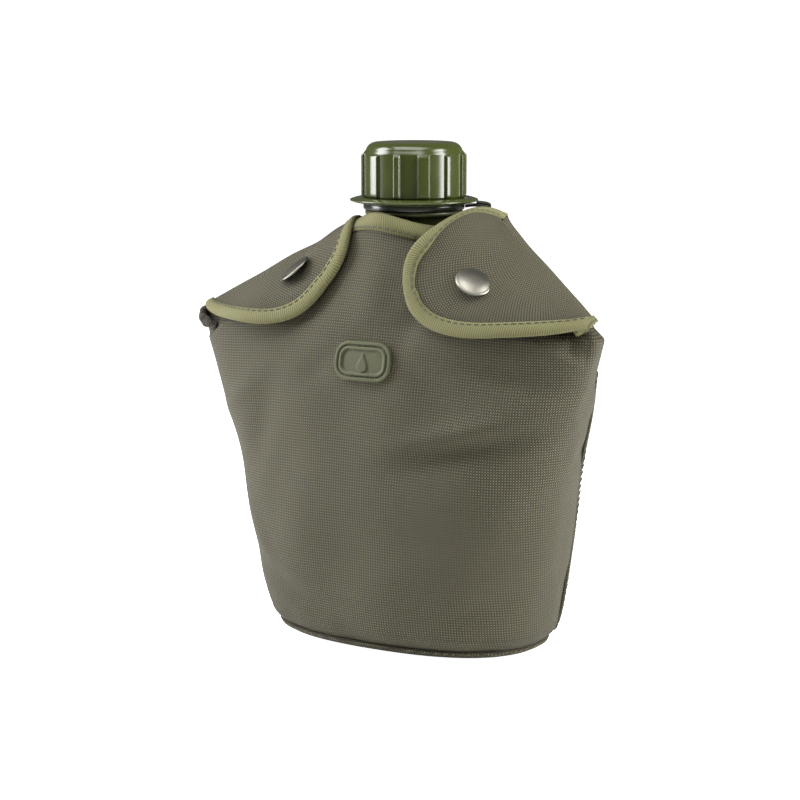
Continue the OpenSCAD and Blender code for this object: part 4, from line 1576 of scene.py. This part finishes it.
@dataclass
class Cap(Part):
    """The screw cap with its washer, the ring that it turns in, and the strap down to the neck."""

    bore_r: float = 19.45
    body_r: float = 20.8
    rib_rise: float = 1.2
    ribs: int = 12
    first_rib: float = 10.0
    broad_rib: float = 2.3
    narrow_rib: float = 1.2
    strap_turn: float = 28.0
    strap_half_w: float = 3.5

    def shell(self) -> bpy.types.Object:
        """The cap: a turned profile with a rolled crown, broad and narrow grip ribs added to its radius.

        Returns:
            The cap.
        """
        low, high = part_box("cap_shell")
        z0, z1, _ = self.span(low, high)
        foot, rib_top = z0 + 3.2, z1 - 4.6
        r, bore = self.body_r, self.bore_r
        crown = [(r * 0.965 - 4.6 * (1 - math.cos(t)), z1 - 4.4 + 4.4 * math.sin(t))
                 for t in np.linspace(0.25, math.pi / 2, 9)]
        wall = [(r, foot + 0.05), (r, foot + 0.5), (r, foot + 1.6), (r, foot + 1.9), (r, rib_top - 1.6),
                (r, rib_top - 0.7), (r, rib_top - 0.2), (r, rib_top + 0.1), (r - 0.05, rib_top + 0.3)]
        inside = [(0.0, z1 - 3.0), (bore - 0.6, z1 - 3.0), (bore, z1 - 3.6), (bore, z0 + 0.3)]
        skirt = [(bore + 0.3, z0), (20.7, z0), (20.9, z0 + 0.2), (20.9, z0 + 0.4), (20.3, z0 + 0.6),
                 (20.3, foot - 0.1), (20.4, foot)]
        profile = np.array(inside + skirt + wall + crown + [(8.0, z1 - 0.02), (0.0, z1)])
        steps = 720
        turn = np.arange(steps) * TAU / steps
        swell = np.zeros((len(profile), steps))
        height = profile[:, 1]
        ramp = np.clip(np.minimum((height - foot + 0.1) / 0.5, (rib_top + 0.1 - height) / 0.9), 0, 1)
        outside = (profile[:, 0] > 20.35) & (height > foot)
        for k in range(self.ribs):
            centre = math.radians(self.first_rib) + TAU * k / self.ribs
            away = np.abs((turn - centre + math.pi) % TAU - math.pi) * r
            width = self.broad_rib if k % 2 == 0 else self.narrow_rib
            rib = np.clip((width + 0.35 - away) / 0.7, 0, 1)
            swell += (ramp * outside)[:, None] ** 0.5 * (rib * rib * (3 - 2 * rib))[None] * self.rib_rise
        return revolve("cap_moulding", profile, Finish.CAP, steps, swell)

    @staticmethod
    def span(low: Vector, high: Vector) -> tuple[float, float, float]:
        """Heights and outer radius of a round solid on the neck's axis.

        Args:
            low: low corner of the solid's box, in metres.
            high: its high corner.
        Returns:
            Lowest and highest z, and the radius, in millimetres.
        """
        return low.z / MM, high.z / MM, high.x / MM

    def build(self) -> None:
        """Build the cap's pieces."""
        self.put(self.shell(), "cap", "cap_plastic", "cap_shell")
        low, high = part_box("cap_gasket")
        z0, z1, r = self.span(low, high)
        washer = rounded([(12.0, z0), (19.3, z0), (19.3, z1), (12.0, z1)], 0.4)
        self.put(revolve("cap_washer", washer, Finish.GASKET, 96), "cap", "gasket_rubber", "cap_gasket")
        low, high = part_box("cap_strap_ring")
        z0, z1, r = self.span(low, high)
        ring = rounded([(20.4, z0), (r - 1.6, z0), (r, z0 + 0.6), (r, z0 + 1.2), (r - 2.4, z1), (20.4, z1)],
                       0.5, 5)
        obj = revolve("cap_ring_moulding", ring, Finish.CAP, 160)
        self.put(obj, "cap_ring", "cap_plastic", "cap_strap_ring")
        low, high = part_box("neck_strap_ring")
        z0, z1, r = self.span(low, high)
        # Painted shadow in part: the ring's top is drawn up about a millimetre above the solid, so that its
        # dark plastic fills the shaded gap under the cap ring.
        ring = rounded([(18.1, z0), (r - 0.2, z0), (r - 0.1, z1 + 0.9), (18.1, z1 + 1.0)], 0.6, 6)
        obj = revolve("neck_ring_moulding", ring, Finish.STRAP, 160)
        self.put(obj, "body", "strap_plastic", "neck_strap_ring")
        self.strap()

    def strap(self) -> None:
        """The strap: a flat band from the neck ring, out and back up to the ring under the cap."""
        turn = math.radians(self.strap_turn)
        knots = np.array([(20.8, 181.6), (24, 182.1), (27, 182.05), (29.4, 181.8), (31.1, 181.6),
                          (31.6, 182.0), (30.4, 182.7), (27.6, 183.1), (25.6, 183.3)])
        t = np.linspace(0, len(knots) - 1, 90)
        r = np.interp(t, np.arange(len(knots)), knots[:, 0])
        z = np.interp(t, np.arange(len(knots)), knots[:, 1])
        kernel = np.ones(9) / 9
        pad = np.pad(np.stack([r, z], -1), ((4, 4), (0, 0)), "edge")
        r, z = (np.convolve(pad[:, k], kernel, "valid") for k in range(2))
        path = np.stack([r * math.cos(turn), r * math.sin(turn), z], -1)
        wide = np.broadcast_to(np.array([-math.sin(turn), math.cos(turn), 0]), path.shape)
        along = unit(np.gradient(path, axis=0))
        up = unit(np.cross(along, wide))
        half = self.strap_half_w
        outline = rounded([(-half, -0.5), (half, -0.5), (half, 0.5), (-half, 0.5)], 0.35)
        band = sweep("retaining_band", path, wide, up, outline, Finish.STRAP)
        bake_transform(band)
        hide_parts("retaining_strap")
        self.pieces.append(band)


# ---------------------------------------------------------------- setting
@dataclass
class Studio:
    """Pale floor, soft side lights and the camera."""

    azimuth: float = 30.0
    pitch: float = 9.45
    distance: float = 0.900
    height: float = 0.250
    lens: float = 97.8
    aside: float = -0.0058
    fill: float = 0.13
    backdrop: float = 1.1
    floor_half: float = 3.0
    aim: float = 0.1

    def camera(self) -> None:
        """Set the camera: azimuth round the neck, level height, and a small step aside."""
        a, e = math.radians(self.azimuth), math.radians(self.pitch)
        data = bpy.data.cameras.new("camera")
        data.lens, data.sensor_width = self.lens, 36.0
        data.dof.use_dof = False
        obj = bpy.data.objects.new("camera", data)
        bpy.context.scene.collection.objects.link(obj)
        right = Vector((math.cos(a), math.sin(a), 0))
        obj.location = Vector((math.sin(a) * self.distance, -math.cos(a) * self.distance, self.height))
        obj.location += right * self.aside
        view = Vector((-math.sin(a) * math.cos(e), math.cos(a) * math.cos(e), -math.sin(e)))
        obj.rotation_euler = view.to_track_quat("-Z", "Y").to_euler()
        bpy.context.scene.camera = obj

    def lamp(self, name: str, azimuth: float, elevation: float, distance: float, size: tuple[float, float],
             power: float) -> None:
        """Add a soft box that faces the canteen.

        Args:
            name: object name.
            azimuth: degrees round from the front.
            elevation: degrees up.
            distance: metres from the canteen's middle.
            size: width and height in metres.
            power: watts.
        """
        data = bpy.data.lights.new(name, "AREA")
        data.shape, data.size, data.size_y, data.energy = "RECTANGLE", size[0], size[1], power
        obj = bpy.data.objects.new(name, data)
        a, e = math.radians(azimuth), math.radians(elevation)
        way = Vector((math.sin(a) * math.cos(e), -math.cos(a) * math.cos(e), math.sin(e)))
        obj.location = way * distance + Vector((0, 0, self.aim))
        obj.rotation_euler = (-way).to_track_quat("-Z", "Y").to_euler()
        bpy.context.scene.collection.objects.link(obj)

    def build(self) -> None:
        """Build floor, lights, world and camera."""
        corners = np.array([(-1, -1, 0), (1, -1, 0), (1, 1, 0), (-1, 1, 0)]) * self.floor_half / MM
        floor = make_mesh("floor", corners, np.array([[0, 1, 2, 3]]), Finish.STRAP)
        n = Nodes("paper_matt_white")
        grain = n.noise(n.add("TexCoord").outputs["Object"], 40.0)
        colour = n.blend(n.math("MULTIPLY", grain, 0.05), srgb("#fbfbfb"), srgb("#f2f2f2"))
        glow = n.add("LightPath").outputs["Is Camera Ray"]
        floor.data.materials[0] = n.finish(None, Base_Color=colour, Roughness=0.9,
                                           Emission_Color=srgb("#ffffff"), Emission_Strength=glow)
        bpy.context.scene.view_settings.view_transform = "Standard"
        world = bpy.data.worlds.new("studio")
        bpy.context.scene.world = world
        world.use_nodes = True
        tree = world.node_tree
        seen = tree.nodes.new("ShaderNodeLightPath").outputs["Is Camera Ray"]
        level = tree.nodes.new("ShaderNodeMapRange")
        level.inputs[3].default_value, level.inputs[4].default_value = self.fill, self.backdrop
        tree.links.new(seen, level.inputs[0])
        back = tree.nodes["Background"]
        back.inputs[0].default_value = (1, 1, 1, 1)
        tree.links.new(level.outputs[0], back.inputs[1])
        self.lamp("left_box", self.azimuth - 95, 26, 0.75, (0.3, 0.8), 12)
        self.lamp("right_box", self.azimuth + 72, 22, 0.75, (0.3, 0.8), 13)
        self.lamp("top_box", self.azimuth - 20, 72, 0.9, (0.8, 0.5), 8.5)
        self.camera()


def main() -> None:
    """Build the canteen and its setting."""
    logging.basicConfig(level=logging.INFO, format="%(message)s")
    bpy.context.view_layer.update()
    form = CoverForm()
    Studio().build()
    left_flap = Flap(form, side=-1, word="left", snap_x=38.5, snap_z=151.5, ridge_rise=-2.4, neck_rise=-1.5,
                     neck_curve=((-5, 1), (-19, 4), (-13, 18), (4, 25)),
                     foot_curve=((4, 25), (21, 34), (40, 29), (69, 1)))
    right_flap = Flap(form, side=1, word="right")
    for part in (Cover(form), Patch(form), left_flap, right_flap, Bottle(form), Cap(form)):
        part.build()
        LOG.info("%s: %d pieces", type(part).__name__, len(part.pieces))


if __name__ == "__main__":
    main()
